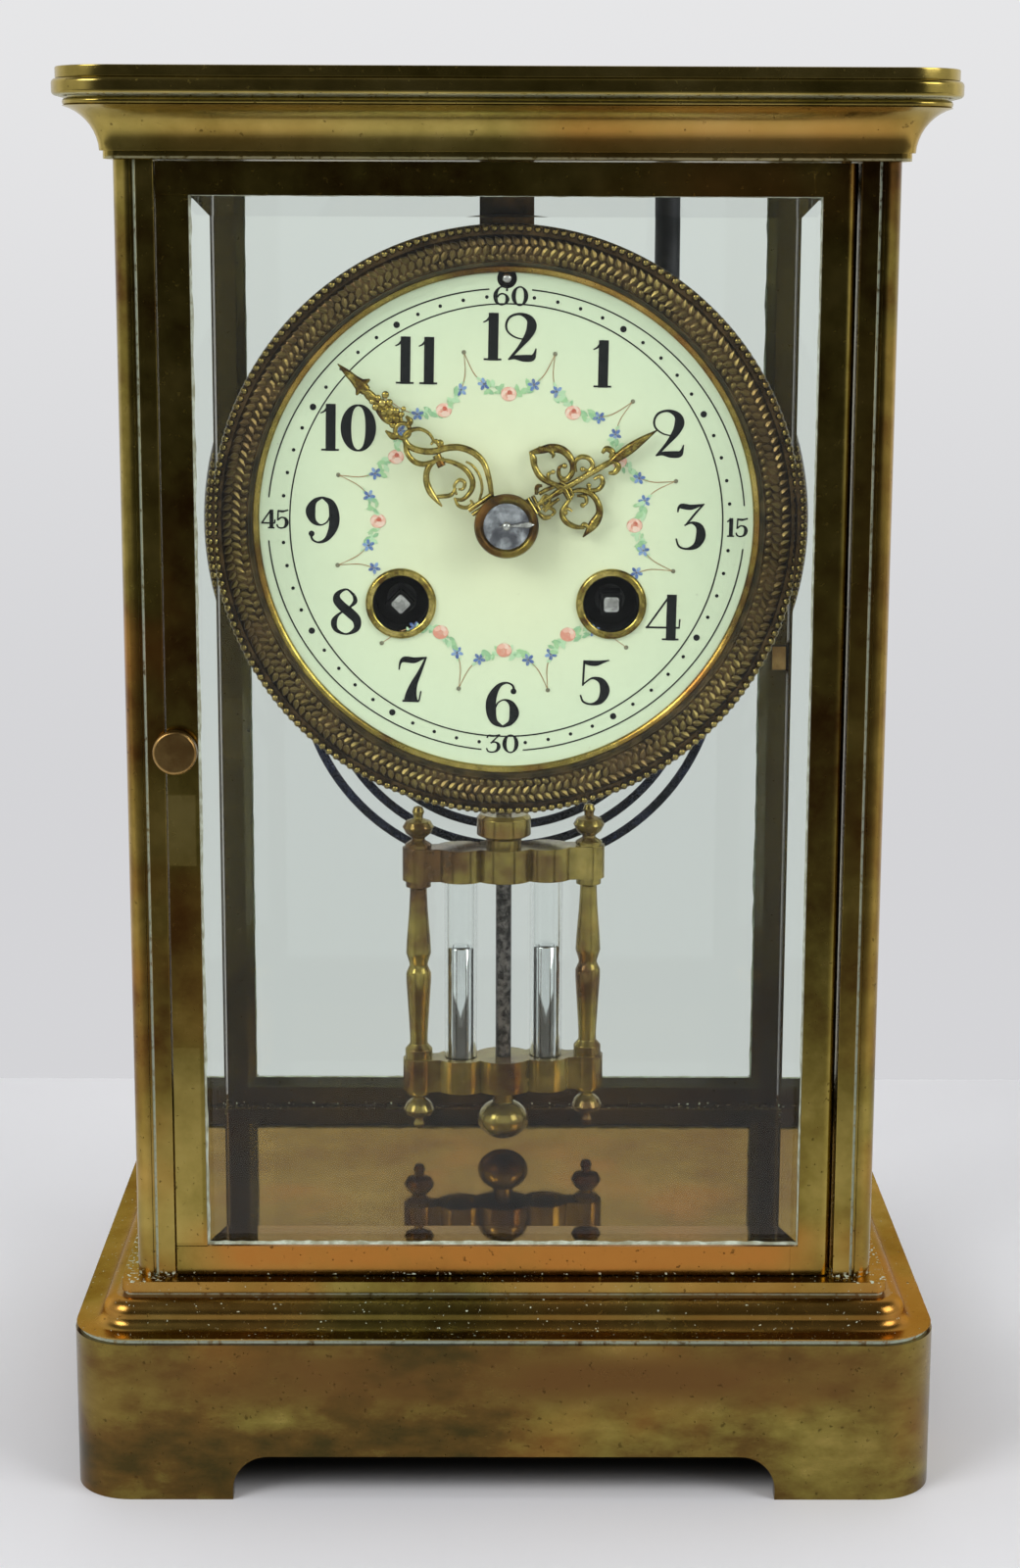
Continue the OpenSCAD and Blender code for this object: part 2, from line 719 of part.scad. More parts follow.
// Tooth counts and modules of the going train, the motion work and the strike train
great_n = 84;
second_leaves = 12;
second_n = 72;
centre_leaves = 10;
slow_m = 0.42;
centre_n = 84;
third_leaves = 8;
centre_m = 0.36;
third_n = 80;
escape_leaves = 8;
third_m = 0.32;
escape_n = 46;
escape_r = 12;
cannon_leaves = 12;
motion_n = 36;
motion_leaves = 10;
hour_n = 40;
motion_m = 0.4;
hour_m = motion_m * (cannon_leaves + motion_n) / (motion_leaves + hour_n);
strike_second_n = 60;
pin_leaves = 8;
pin_n = 60;
warning_leaves = 8;
warning_n = 56;
fly_leaves = 8;
strike_m = 0.36;
pin_m = 0.3;
warning_m = 0.28;

function mesh(n1, n2, m) = (n1 + n2) * m / 2;
function polar(d, a) = d * [cos(a), sin(a)];
function heading(p, q) = atan2(q.y - p.y, q.x - p.x);
// Point at distance rp from p and rq from q; side picks one of the two
function meet(p, rp, q, rq, side) =
  let (d = norm(q - p), u = (q - p) / d, a = (rp * rp - rq * rq + d * d) / (2 * d))
  p + a * u + side * sqrt(rp * rp - a * a) * [-u.y, u.x];

// Places of the arbors, across and up from the dial centre
escape_up = 19.5;
centre_p = [0, 0];
strike_p = wind_places[0];
going_p = wind_places[1];
escape_p = [0, escape_up];
anchor_p = [0, anchor_up];
second_p = meet(centre_p, mesh(second_n, centre_leaves, slow_m), going_p,
  mesh(great_n, second_leaves, slow_m), -1);
third_p = meet(centre_p, mesh(centre_n, third_leaves, centre_m), escape_p,
  mesh(third_n, escape_leaves, third_m), -1);
motion_p = polar(mesh(cannon_leaves, motion_n, motion_m), 180);
strike_second_p = strike_p + polar(mesh(great_n, second_leaves, slow_m), 103.5);
pin_p = strike_second_p + polar(mesh(strike_second_n, pin_leaves, strike_m), 58);
warning_p = pin_p + polar(mesh(pin_n, warning_leaves, pin_m), 70);
fly_p = warning_p + polar(mesh(warning_n, fly_leaves, warning_m), 160);
hammer_p = [-37, 2];
pillar_at = 38;
pillar_places = [for (a = [0, 60, 152, 270]) polar(pillar_at, a)];

// Depths of the wheels behind the inner face of the front plate
strike_second_depth = 1.2;
strike_great_depth = 4;
drum_depth = [5.2, 19];
pin_depth = 6;
warning_depth = 10;
fly_depth = 14;
fly_len = 13;
going_great_depth = 19;
escape_depth = 22;
second_depth = 23;
centre_depth = 27;
third_depth = 30.5;
pinion_over = 0.6;

module at(p) {
  translate([p.x, 0, dial_z + p.y]) children();
}

module wheel_at(depth) {
  sheet_y(front_inner + depth, wheel_t) children();
}

module pinion_at(depth) {
  sheet_y(front_inner + depth - pinion_over, wheel_t + 2 * pinion_over) children();
}

function gap_turn(n, from, to) = heading(from, to) + 180 / n;

// Wheels of the going train
module centre_wheel() {
  color("gold") at(centre_p) {
    wheel_at(centre_depth) wheel(centre_n, centre_m, heading(centre_p, third_p), arbor_r);
    pinion_at(second_depth)
      pinion(centre_leaves, slow_m, gap_turn(centre_leaves, centre_p, second_p), arbor_r);
    along_y(arbor_r, front_inner + end_shake, back_inner - end_shake);
    along_y(pivot_r, back_inner - 1, back_outer - end_shake);
    along_y(arbor_r, cannon_front, front_inner + 1);
  }
}

module second_wheel() {
  color("gold") at(second_p) {
    wheel_at(second_depth) wheel(second_n, slow_m, heading(second_p, centre_p), arbor_r);
    pinion_at(going_great_depth)
      pinion(second_leaves, slow_m, gap_turn(second_leaves, second_p, going_p), arbor_r);
    arbor(arbor_r, pivot_r, front_inner, back_inner);
  }
}

module third_wheel() {
  color("gold") at(third_p) {
    wheel_at(third_depth) wheel(third_n, third_m, heading(third_p, escape_p), arbor_r);
    pinion_at(centre_depth)
      pinion(third_leaves, centre_m, gap_turn(third_leaves, third_p, centre_p), arbor_r);
    arbor(arbor_r, pivot_r, front_inner, back_inner);
  }
}

module escape_outline() {
  step = 360 / escape_n;
  root = escape_r - 1.3;
  difference() {
    polygon([for (i = [0:escape_n - 1]) each [polar(root, i * step), polar(escape_r, (i + 0.35) * step),
      polar(escape_r, (i + 0.45) * step), polar(root, (i + 0.75) * step)]]);
    arbor_bore(arbor_r);
    difference() {
      circle(root - wheel_rim, $fn = 12);
      circle(wheel_hub, $fn = 12);
      for (a = [0, 90]) rotate(a) square([2 * root, spoke_w], center = true);
    }
  }
}

module escape_wheel() {
  color("gold") at(escape_p) {
    wheel_at(escape_depth) escape_outline();
    pinion_at(third_depth)
      pinion(escape_leaves, third_m, gap_turn(escape_leaves, escape_p, third_p), arbor_r);
    arbor(arbor_r, pivot_r, front_inner, back_inner);
  }
}

// Spring barrel that turns on its winding arbor
barrel_bore = 2.4;
module barrel(p, great_depth, mate) {
  color("goldenrod") at(p) {
    wheel_at(great_depth) difference() {
      rotate(heading(p, mate)) polygon(gear_outline(great_n, slow_m, wheel_teeth));
      circle(barrel_bore + 0.6, $fn = 12);
    }
    difference() {
      along_y(barrel_r, front_inner + drum_depth[0] + seat, front_inner + drum_depth[1] - seat);
      along_y(barrel_bore + run, front_inner, back_inner);
    }
  }
}

module going_barrel() { barrel(going_p, going_great_depth, second_p); }
module strike_barrel() { barrel(strike_p, strike_great_depth, strike_second_p); }

// Winding arbor with its square behind the dial hole and its ratchet on the front plate
square_rise = 1;
square_y = dial_front - square_rise;
ratchet_r = 6;
ratchet_t = 1.4;
ratchet_n = 18;
ratchet_tooth = 0.9;
ratchet_gap = 0.3;
ratchet_y = front_plate_y - ratchet_gap - ratchet_t;
arbor_pivot_r = 1.9;

module winding_arbor(p, square_turn) {
  step = 360 / ratchet_n;
  color("silver") at(p) {
    along_y(barrel_bore, front_inner + end_shake, back_inner - end_shake);
    along_y(arbor_pivot_r, ratchet_y + ratchet_t - eps, front_inner + 1);
    along_y(arbor_pivot_r, back_inner - 1, back_outer - end_shake);
    sheet_y(ratchet_y, ratchet_t) polygon([for (i = [0:ratchet_n - 1])
      each [polar(ratchet_r, i * step), polar(ratchet_r - ratchet_tooth, i * step)]]);
    rotate([0, square_turn, 0]) sheet_y(square_y, ratchet_y - square_y + eps)
      square(wind_square, center = true);
  }
}

module going_arbor() { winding_arbor(going_p, 0); }
module strike_arbor() { winding_arbor(strike_p, 45); }

// Clicks that lock the ratchets; each stands just clear of the tips of the teeth
click_gap = 0.35;
click_r = 1.6;
module winding_clicks() {
  color("silver") for (p = wind_places) at(p) {
    side = sign(p.x);
    post_at = [side * (ratchet_r + click_gap + click_r), 0];
    translate([post_at.x, 0, post_at.y]) along_y(click_r, ratchet_y, front_plate_y);
    sheet_y(ratchet_y, ratchet_t)
      polygon([post_at, post_at + [side * 1.4, 0.4], polar(ratchet_r + click_gap, 90 - side * 50),
        polar(ratchet_r + click_gap, 90 - side * 62)]);
  }
}

// Wheels of the strike train
module strike_second_wheel() {
  color("gold") at(strike_second_p) {
    wheel_at(strike_second_depth) wheel(strike_second_n, strike_m, heading(strike_second_p, pin_p), arbor_r);
    pinion_at(strike_great_depth)
      pinion(second_leaves, slow_m, gap_turn(second_leaves, strike_second_p, strike_p), arbor_r);
    arbor(arbor_r, pivot_r, front_inner, back_inner);
  }
}

lift_pins = 8;
lift_pin_r = 0.4;
lift_pin_len = 2;
module pin_wheel() {
  pin_ring = gear_r(pin_n, pin_m) - wheel_teeth[1] * pin_m - wheel_rim / 2;
  pin_face = front_inner + pin_depth + wheel_t;
  color("gold") at(pin_p) {
    wheel_at(pin_depth) wheel(pin_n, pin_m, heading(pin_p, warning_p), arbor_r);
    pinion_at(strike_second_depth)
      pinion(pin_leaves, strike_m, gap_turn(pin_leaves, pin_p, strike_second_p), arbor_r);
    arbor(arbor_r, pivot_r, front_inner, back_inner);
    for (i = [0:lift_pins - 1]) let (q = polar(pin_ring, (i + 0.5) * 360 / lift_pins))
      translate([q.x, 0, q.y]) along_y(lift_pin_r, pin_face, pin_face + lift_pin_len);
  }
}

module warning_wheel() {
  color("gold") at(warning_p) {
    wheel_at(warning_depth) wheel(warning_n, warning_m, heading(warning_p, fly_p), arbor_r);
    pinion_at(pin_depth)
      pinion(warning_leaves, pin_m, gap_turn(warning_leaves, warning_p, pin_p), arbor_r);
    arbor(arbor_r, pivot_r, front_inner, back_inner);
  }
}

fly_w = 9.6;
fly_t = 0.5;
module fly() {
  color("gold") at(fly_p) {
    pinion_at(warning_depth)
      pinion(fly_leaves, warning_m, gap_turn(fly_leaves, fly_p, warning_p), arbor_r);
    sheet_y(front_inner + fly_depth, fly_len) difference() {
      union() {
        square([fly_w, fly_t], center = true);
        circle(arbor_r + 0.7, $fn = 12);
      }
      arbor_bore(arbor_r);
    }
    arbor(arbor_r, pivot_r, front_inner, back_inner);
  }
}

// Motion work between the front plate and the dial
cannon_front = dial_front - 5.4;
cannon_r = 1.5;
minute_y = dial_front - 4.4;
hour_y = dial_front - 2.4;
hand_t = 0.7;
motion_t = 1.2;
motion_y = front_plate_y - 2.2;
hour_wheel_y = motion_y - 2.4;
hour_pipe_r = 2.6;
motion_stud_r = 0.7;
hand_turn = shown_minutes * 6;

module tube_y(outer, inner, y0, y1) {
  difference() {
    along_y(outer, y0, y1);
    along_y(inner, y0 - 1, y1 + 1);
  }
}

module cannon_pinion() {
  color("goldenrod") at(centre_p) {
    tube_y(cannon_r, arbor_r + run, minute_y, motion_y - 0.5);
    sheet_y(motion_y - 0.4, motion_t + 0.8)
      pinion(cannon_leaves, motion_m, gap_turn(cannon_leaves, centre_p, motion_p), arbor_r + run);
  }
}

module hour_wheel() {
  color("goldenrod") at(centre_p) {
    sheet_y(hour_wheel_y, motion_t) difference() {
      rotate(heading(centre_p, motion_p)) polygon(gear_outline(hour_n, hour_m, wheel_teeth));
      arbor_bore(hour_pipe_r);
    }
    tube_y(hour_pipe_r, cannon_r + run, hour_y - 0.5, hour_wheel_y + motion_t);
  }
}

module motion_wheel() {
  color("goldenrod") at(motion_p) {
    sheet_y(motion_y, motion_t) wheel(motion_n, motion_m, heading(motion_p, centre_p), motion_stud_r + run);
    sheet_y(hour_wheel_y - 0.4, motion_y - hour_wheel_y + 0.4)
      pinion(motion_leaves, hour_m, gap_turn(motion_leaves, motion_p, centre_p), motion_stud_r + run);
  }
}

// Pierced hands, drawn along +X
module ring_2d(p, r, w) {
  translate(p) difference() {
    circle(r);
    circle(r - w);
  }
}

module spear(from, to, w) {
  belly = from + 0.22 * (to - from);
  polygon([[from, -0.5], [belly, -w / 2], [to, -0.12], [to, 0.12], [belly, w / 2], [from, 0.5]]);
}

hand_hub_r = 3.9;
module minute_plan() {
  difference() {
    union() {
      circle(hand_hub_r);
      translate([0, -0.9]) square([8, 1.8]);
    }
    circle(cannon_r + seat);
  }
  ring_2d([12, 0], 5.2, 0.9);
  ring_2d([10.6, 2], 2.6, 0.8);
  ring_2d([13.6, -1.8], 2.8, 0.8);
  translate([16.6, -0.6]) square([5, 1.2]);
  translate([19, 0]) circle(1.5);
  ring_2d([21.8, 1], 1.6, 0.7);
  ring_2d([21.8, -1], 1.6, 0.7);
  translate([22.5, -0.5]) square([3.5, 1]);
  translate([25.6, 0]) circle(1.7);
  spear(25.6, minute_len, 2.8);
}

module hour_plan() {
  difference() {
    union() {
      circle(hand_hub_r + 0.3);
      translate([0, -1]) square([8, 2]);
    }
    circle(hour_pipe_r + seat);
  }
  for (side = [-1, 1]) {
    ring_2d([9.6, side * 3.4], 2.9, 0.9);
    ring_2d([14.2, side * 2.9], 2.6, 0.9);
    ring_2d([11.4, side * 5.6], 1.6, 0.8);
    translate([7, side * 0.9 - 0.4]) square([9, 0.8]);
  }
  ring_2d([11.8, 0], 1.9, 0.7);
  translate([15.4, -0.7]) square([4, 1.4]);
  translate([18.6, 0]) circle(1.6);
  spear(18.6, hour_len, 2.6);
}

module minute_hand() {
  color("goldenrod") at(centre_p) rotate([0, hand_turn - 90, 0]) sheet_y(minute_y, hand_t) minute_plan();
}

module hour_hand() {
  color("goldenrod") at(centre_p) rotate([0, hand_turn / 12 - 90, 0]) sheet_y(hour_y, hand_t) hour_plan();
}

// Collet and tapered pin that hold the minute hand
collet_r = 5.8;
collet_t = 1;
pin_len = 7;
module hand_collet() {
  collet_y = minute_y - collet_t - 0.1;
  color("peru") at(centre_p) {
    translate([0, collet_y + collet_t, 0]) rotate([90, 0, 0]) rotate_extrude() difference() {
      union() {
        translate([arbor_r + run, 0]) square([collet_r - arbor_r - run - 0.5, collet_t]);
        translate([arbor_r + run, 0.5]) square([collet_r - arbor_r - run - 0.5, 0.5]);
        translate([collet_r - 0.5, 0.5]) circle(0.5);
      }
      translate([0, collet_t - 0.3]) square([collet_r - 1.6, 1]);
    }
    translate([-1.2, collet_y - 0.35, 0]) rotate([0, 90, 0]) cylinder(r1 = 0.3, r2 = 0.18, h = pin_len);
  }
}

// Plates, pillars, screws and the block that hangs the movement from the cornice
tab_w = 12;
tab_up = 5;
hanger_w = 10;
hanger_low = plate_d / 2 - 0.5;
hanger_mid = (front_inner + back_inner) / 2;
hanger_bolt_gap = 16;
hanger_bolt_r = 1.6;
hanger_screw_r = 1.1;
screw_head_r = 2;
screw_head_t = 1.2;
screw_hole = 6;
hanger_bolt_in = 6;
hanger_nut_t = 2;
pillar_screw_r = 1.2;
hanger_screw_up = plate_d / 2 + 2.6;
cock_foot_w = 16;
cock_foot_t = 2;

train_places = [second_p, third_p, escape_p, strike_second_p, pin_p, warning_p, fly_p];

module plate_plan() {
  difference() {
    union() {
      circle(plate_d / 2, $fn = 96);
      translate([-tab_w / 2, 0]) square([tab_w, plate_d / 2 + tab_up]);
    }
    for (p = train_places) translate(p) circle(pivot_r + run);
    for (p = wind_places) translate(p) circle(arbor_pivot_r + run);
    for (p = pillar_places) translate(p) circle(pillar_screw_r + seat);
    translate([0, hanger_screw_up]) circle(hanger_screw_r + seat);
  }
}

module front_plate() {
  color("goldenrod") {
    at(centre_p) sheet_y(front_plate_y, plate_t) difference() {
      plate_plan();
      circle(arbor_r + run);
      translate(anchor_p) circle(pivot_r + run);
      translate(hammer_p) circle(pivot_r + run);
    }
    at(motion_p) along_y(motion_stud_r, hour_wheel_y - 0.8, front_plate_y + eps);
  }
}

module back_plate() {
  color("goldenrod") at(centre_p) sheet_y(back_inner, plate_t) difference() {
    plate_plan();
    circle(pivot_r + run);
    translate(anchor_p) circle(anchor_way_r);
    translate(hammer_p) circle(hammer_arbor_r + run);
  }
}

module plate_pillars() {
  waist = 0.7;
  foot = 4;
  color("goldenrod") for (p = pillar_places) at(p) difference() {
    union() {
      along_y(pillar_r, front_inner, front_inner + foot);
      along_y(pillar_r - waist, front_inner + foot - eps, back_inner - foot + eps);
      along_y(pillar_r, back_inner - foot, back_inner);
    }
    along_y(pillar_screw_r + seat, front_inner - 1, front_inner + screw_hole);
    along_y(pillar_screw_r + seat, back_inner - screw_hole, back_inner + 1);
  }
}

module plate_screw(r, face, inward, reach) {
  low = inward > 0 ? face : face - reach;
  head = inward > 0 ? face - screw_head_t : face;
  along_y(r, low - eps, low + reach + eps);
  difference() {
    along_y(screw_head_r, head, head + screw_head_t);
    translate([-screw_head_r - 1, head + (inward > 0 ? -1 : screw_head_t / 2), -0.25])
      cube([2 * screw_head_r + 2, screw_head_t / 2 + 1, 0.5]);
  }
}

module movement_screws() {
  reach = plate_t + screw_hole - 1;
  color("slategray") {
    for (p = pillar_places) at(p) {
      plate_screw(pillar_screw_r, front_plate_y, 1, reach);
      plate_screw(pillar_screw_r, back_outer, -1, reach);
    }
    at([0, hanger_screw_up]) {
      plate_screw(hanger_screw_r, front_plate_y, 1, reach);
      plate_screw(hanger_screw_r, back_outer + cock_foot_t, -1, reach + cock_foot_t);
    }
    for (y = [-1, 1]) translate([0, hanger_mid + y * hanger_bolt_gap / 2, 0]) {
      translate([0, 0, post_top - hanger_bolt_in])
        cylinder(r = hanger_bolt_r, h = ceiling_t + hanger_bolt_in);
      translate([0, 0, post_top + ceiling_t]) cylinder(r = hanger_bolt_r + 1.4, h = hanger_nut_t);
    }
  }
}

module movement_hanger() {
  low = dial_z + hanger_low;
  color("peru") difference() {
    translate([-hanger_w / 2, front_inner, low]) cube([hanger_w, plate_gap, post_top - low]);
    for (y = [-1, 1]) translate([0, hanger_mid + y * hanger_bolt_gap / 2, post_top - hanger_bolt_in - seat])
      cylinder(r = hanger_bolt_r + seat, h = hanger_bolt_in + 1);
    at([0, hanger_screw_up]) {
      along_y(hanger_screw_r + seat, front_inner - 1, front_inner + screw_hole);
      along_y(hanger_screw_r + seat, back_inner - screw_hole, back_inner + 1);
    }
  }
}

// Anchor, crutch and the cock that carries them and the pendulum
anchor_way_r = 3.4;
anchor_arbor_r = 0.9;
crutch_y = back_outer + cock_foot_t + 1.2;
crutch_t = 1.2;
crutch_w = 1.6;
crutch_drop = 23;
fork_play = 0.3;
fork_wall = 1;
fork_h = 2.4;
cock_wall_y = crutch_y + crutch_t + 1.2;
cock_wall_t = 2.2;
chop_t = 2.6;
chop_w = 3.4;
cheek_t = 1.6;
cheek_play = 0.25;
cock_w = 9;
cock_low = -3.4;
bridge_low = 4;
bridge_t = 4.5;
spring_pin_r = 0.8;
cheek_back = pendulum_y + chop_t / 2 + cheek_play + cheek_t;

module anchor_plan() {
  pallet = [8.7, -7.1];
  difference() {
    union() {
      circle(2.6, $fn = 12);
      for (side = [0, 1]) mirror([side, 0])
        polygon([[0, 2], [4.4, 0.9], [pallet.x + 1.6, pallet.y + 2.2], [pallet.x + 1.2, pallet.y - 0.2],
          [pallet.x - 0.1, pallet.y + 0.9], [pallet.x - 0.3, pallet.y + 2.6], [3.2, -1.6], [0, -2]]);
    }
    arbor_bore(anchor_arbor_r);
  }
}

module anchor() {
  fork_x = rod_r + fork_play;
  fork_front = crutch_y;
  fork_back = pendulum_y + rod_r;
  color("silver") at(anchor_p) {
    wheel_at(escape_depth) anchor_plan();
    along_y(anchor_arbor_r, front_inner + end_shake, cock_wall_y - end_shake);
    along_y(pivot_r, front_plate_y + end_shake, front_inner + 1);
    along_y(pivot_r, cock_wall_y - 1, cock_wall_y + cock_wall_t - end_shake);
    difference() {
      translate([-crutch_w / 2, crutch_y, -crutch_drop]) cube([crutch_w, crutch_t, crutch_drop + 2.2]);
      along_y(anchor_arbor_r + seat, crutch_y - 1, crutch_y + crutch_t + 1);
    }
    translate([-fork_x - fork_wall, fork_front, -crutch_drop - fork_h])
      difference() {
        cube([2 * (fork_x + fork_wall), fork_back - fork_front, fork_h]);
        translate([fork_wall, pendulum_y - rod_r - fork_play - fork_front, -1])
          cube([2 * fork_x, 2 * fork_back, fork_h + 2]);
      }
  }
}

module suspension_cock() {
  head_room = screw_head_r + 0.3;
  color("goldenrod") at(anchor_p) difference() {
    union() {
      translate([-cock_foot_w / 2, back_outer, bridge_low]) cube([cock_foot_w, cock_foot_t, bridge_t + 2]);
      translate([-cock_w / 2, back_outer, bridge_low]) cube([cock_w, cheek_back - back_outer, bridge_t]);
      translate([-cock_w / 2, cock_wall_y, cock_low])
        cube([cock_w, cock_wall_t, bridge_low - cock_low + eps]);
      for (y = [pendulum_y - chop_t / 2 - cheek_play - cheek_t, cheek_back - cheek_t])
        translate([-cock_w / 2, y, cock_low]) cube([cock_w, cheek_t, bridge_low - cock_low + eps]);
    }
    along_y(pivot_r + run, cock_wall_y - 1, cock_wall_y + cock_wall_t + 1);
    along_y(spring_pin_r + run, cock_wall_y + cock_wall_t + 0.2, cheek_back + 1);
    translate([0, 0, hanger_screw_up - anchor_up])
      along_y(hanger_screw_r + seat, back_outer - 1, back_outer + cock_foot_t + 1);
    translate([-head_room, back_outer + cock_foot_t, hanger_screw_up - anchor_up - head_room])
      cube([2 * head_room, screw_head_t + 0.4, 2 * head_room + bridge_t]);
  }
}

// Gong: a flat spiral of wire that runs clockwise and inwards from its block
gong_start = 36;
gong_sides = 6;
gong_rings_per_turn = 24;
gong_steps = round(gong_turns * gong_rings_per_turn);
gong_lead = 2 * gong_wire_r;
gong_block_w = 8;
gong_post_r = 2.6;
gong_post_screw_r = 1.4;

function gong_angle(i) = gong_start - 360 * i / gong_rings_per_turn;
function gong_point(i) =
  let (r = gong_r - gong_pitch * i / gong_rings_per_turn, a = gong_angle(i)) r * [cos(a), sin(a)];
function gong_way(i) = let (a = gong_angle(i)) [sin(a), -cos(a)];
gong_path = concat([gong_point(0) - gong_lead * gong_way(0)], [for (i = [0:gong_steps]) gong_point(i)],
  [gong_point(gong_steps) + gong_lead * gong_way(gong_steps)]);
gong_ways = concat([gong_way(0)], [for (i = [0:gong_steps]) gong_way(i)], [gong_way(gong_steps)]);
function ring_at(p, way) = [for (k = [0:gong_sides - 1])
  let (a = 360 * k / gong_sides, c = gong_wire_r * cos(a))
  [p.x - way.y * c, gong_wire_r * sin(a), p.y + way.x * c]];
gong_block_p = gong_path[0] - gong_block_w / 2 * gong_way(0);
gong_post_x = gong_block_p.x;
gong_gap = min([for (i = [1:gong_steps]) for (j = [i + 12:1:gong_steps]) norm(gong_path[i] - gong_path[j])])
  - 2 * gong_wire_r;
echo(least_gap_between_gong_turns = gong_gap);

module gong() {
  rings = len(gong_path);
  points = [for (i = [0:rings - 1]) each ring_at(gong_path[i], gong_ways[i])];
  last = (rings - 1) * gong_sides;
  sides = [for (i = [0:rings - 2]) for (k = [0:gong_sides - 1])
    let (a = i * gong_sides + k, b = i * gong_sides + (k + 1) % gong_sides)
    each [[a, b, b + gong_sides], [a, b + gong_sides, a + gong_sides]]];
  caps = [for (k = [1:gong_sides - 2]) each [[0, k + 1, k], [last, last + k, last + k + 1]]];
  color("midnightblue") translate([0, gong_y, gong_z]) polyhedron(points, concat(sides, caps));
}

module gong_block() {
  color("dimgray") difference() {
    translate([gong_block_p.x, gong_y, gong_z + gong_block_p.y]) rotate([0, 90 - gong_start, 0])
      cube(gong_block_w, center = true);
    translate([gong_post_x, gong_y, gong_z + gong_block_p.y])
      cylinder(r = gong_post_r + seat, h = gong_block_w);
  }
}

module gong_post() {
  low = gong_z + gong_block_p.y;
  color("dimgray") translate([gong_post_x, gong_y, 0]) {
    translate([0, 0, low]) cylinder(r = gong_post_r, h = post_top - low);
    translate([0, 0, post_top - eps]) cylinder(r = gong_post_screw_r, h = ceiling_t + eps);
    translate([0, 0, post_top + ceiling_t]) cylinder(r = gong_post_r, h = hanger_nut_t, $fn = 6);
  }
}

// Hammer on its own arbor, with its head beside the outer turn of the gong
hammer_arbor_r = 0.9;
hammer_arm_y = back_outer + 6;
hammer_arm_r = 0.8;
hammer_head_r = 2.6;
hammer_head_len = 7;
hammer_gap = 1.5;
hammer_angle = 150;
hammer_at = gong_r - gong_pitch * (gong_start + 360 - hammer_angle) / 360 + gong_wire_r + hammer_gap;
head_p = polar(hammer_at + hammer_head_len / 2, hammer_angle) + [0, gong_z - dial_z];

module rod_between(a, b, r) {
  d = b - a;
  translate(a) rotate([0, acos(d.z / norm(d)), atan2(d.y, d.x)]) cylinder(r = r, h = norm(d));
}

module hammer() {
  color("goldenrod") translate([0, 0, dial_z]) {
    translate([hammer_p.x, 0, hammer_p.y]) {
      along_y(hammer_arbor_r, front_inner + end_shake, hammer_arm_y + 1.5);
      along_y(pivot_r, front_plate_y + end_shake, front_inner + 1);
    }
    rod_between([hammer_p.x, hammer_arm_y, hammer_p.y], [head_p.x, gong_y, head_p.y], hammer_arm_r);
    translate([head_p.x, gong_y, head_p.y]) rotate([0, 90 - hammer_angle, 0])
      cylinder(r = hammer_head_r, h = hammer_head_len, center = true);
  }
}

// Pendulum, placed from its pivot downwards
chop_up = 2;
chop_h = 4.4;
spring_w = 2.2;
spring_t = 0.25;
spring_len = 7;
lower_chop_h = 3.4;
rod_head_w = 6;
rod_head_d = 5;
rod_head_h = 6;
nut_h = 8.5;
nut_neck_r = 2.2;
nut_neck_h = 2.7;
nut_gap = 0.1;
nut_low = deck_z + nut_clear - pivot_z;
bob_low = nut_low + nut_h + nut_neck_h + nut_gap;
bob_top = bob_low + bob_h;
rod_low = nut_low + 4;
lower_chop_top = chop_up - chop_h - spring_len;
spring_pin_half = chop_t / 2 + cheek_play + cheek_t - 0.1;

module at_pivot() {
  translate([0, pendulum_y, pivot_z]) children();
}

module suspension_spring() {
  color("silver") at_pivot() {
    translate([-chop_w / 2, -chop_t / 2, chop_up - chop_h]) cube([chop_w, chop_t, chop_h]);
    translate([-spring_t / 2, -spring_w / 2, lower_chop_top - eps])
      cube([spring_t, spring_w, spring_len + 2 * eps]);
    translate([-chop_w / 2, -chop_t / 2, lower_chop_top - lower_chop_h])
      cube([chop_w, chop_t, lower_chop_h]);
    along_y(spring_pin_r, -spring_pin_half, spring_pin_half);
  }
}

module pendulum_rod() {
  head_top = lower_chop_top - lower_chop_h + 2.4;
  head_low = head_top - rod_head_h;
  color("slategray") at_pivot() {
    difference() {
      translate([-rod_head_w / 2, -rod_head_d / 2, head_low]) cube([rod_head_w, rod_head_d, rod_head_h]);
      translate([-chop_w / 2 - seat, -chop_t / 2 - seat, lower_chop_top - lower_chop_h])
        cube([chop_w + 2 * seat, chop_t + 2 * seat, rod_head_h]);
    }
    translate([0, 0, rod_low]) cylinder(r = rod_r, h = head_low - rod_low + eps);
  }
}

// Outline of a turned pillar: pairs of radius and height from the lower plate up
pillar_span = bob_h - 2 * bob_plate_t;
pillar_turning = [[2.9, 0], [2.9, 2], [1.9, 3.2], [1.9, 5], [2.2, 10], [2.65, 17], [2.65, 18.6], [1.95, 20.2],
  [2, 20.8], [2.65, 23], [2.5, 26], [2, 32], [1.8, 36], [1.8, 37], [2.65, 37.4], [2.65, 38.8]];
finial_turning = [[0, 0], [2.8, 0], [2.8, 0.7], [1.4, 1.6], [1.4, 2], [2.6, 3], [3.3, 4.4], [2.6, 5.6],
  [1, 6.2], [1, 6.7], [1.3, 7.6], [0.9, 8.6], [0, 8.9]];

module turned(points, h_scale) {
  rotate_extrude() polygon([for (p = points) [p[0], p[1] * h_scale]]);
}

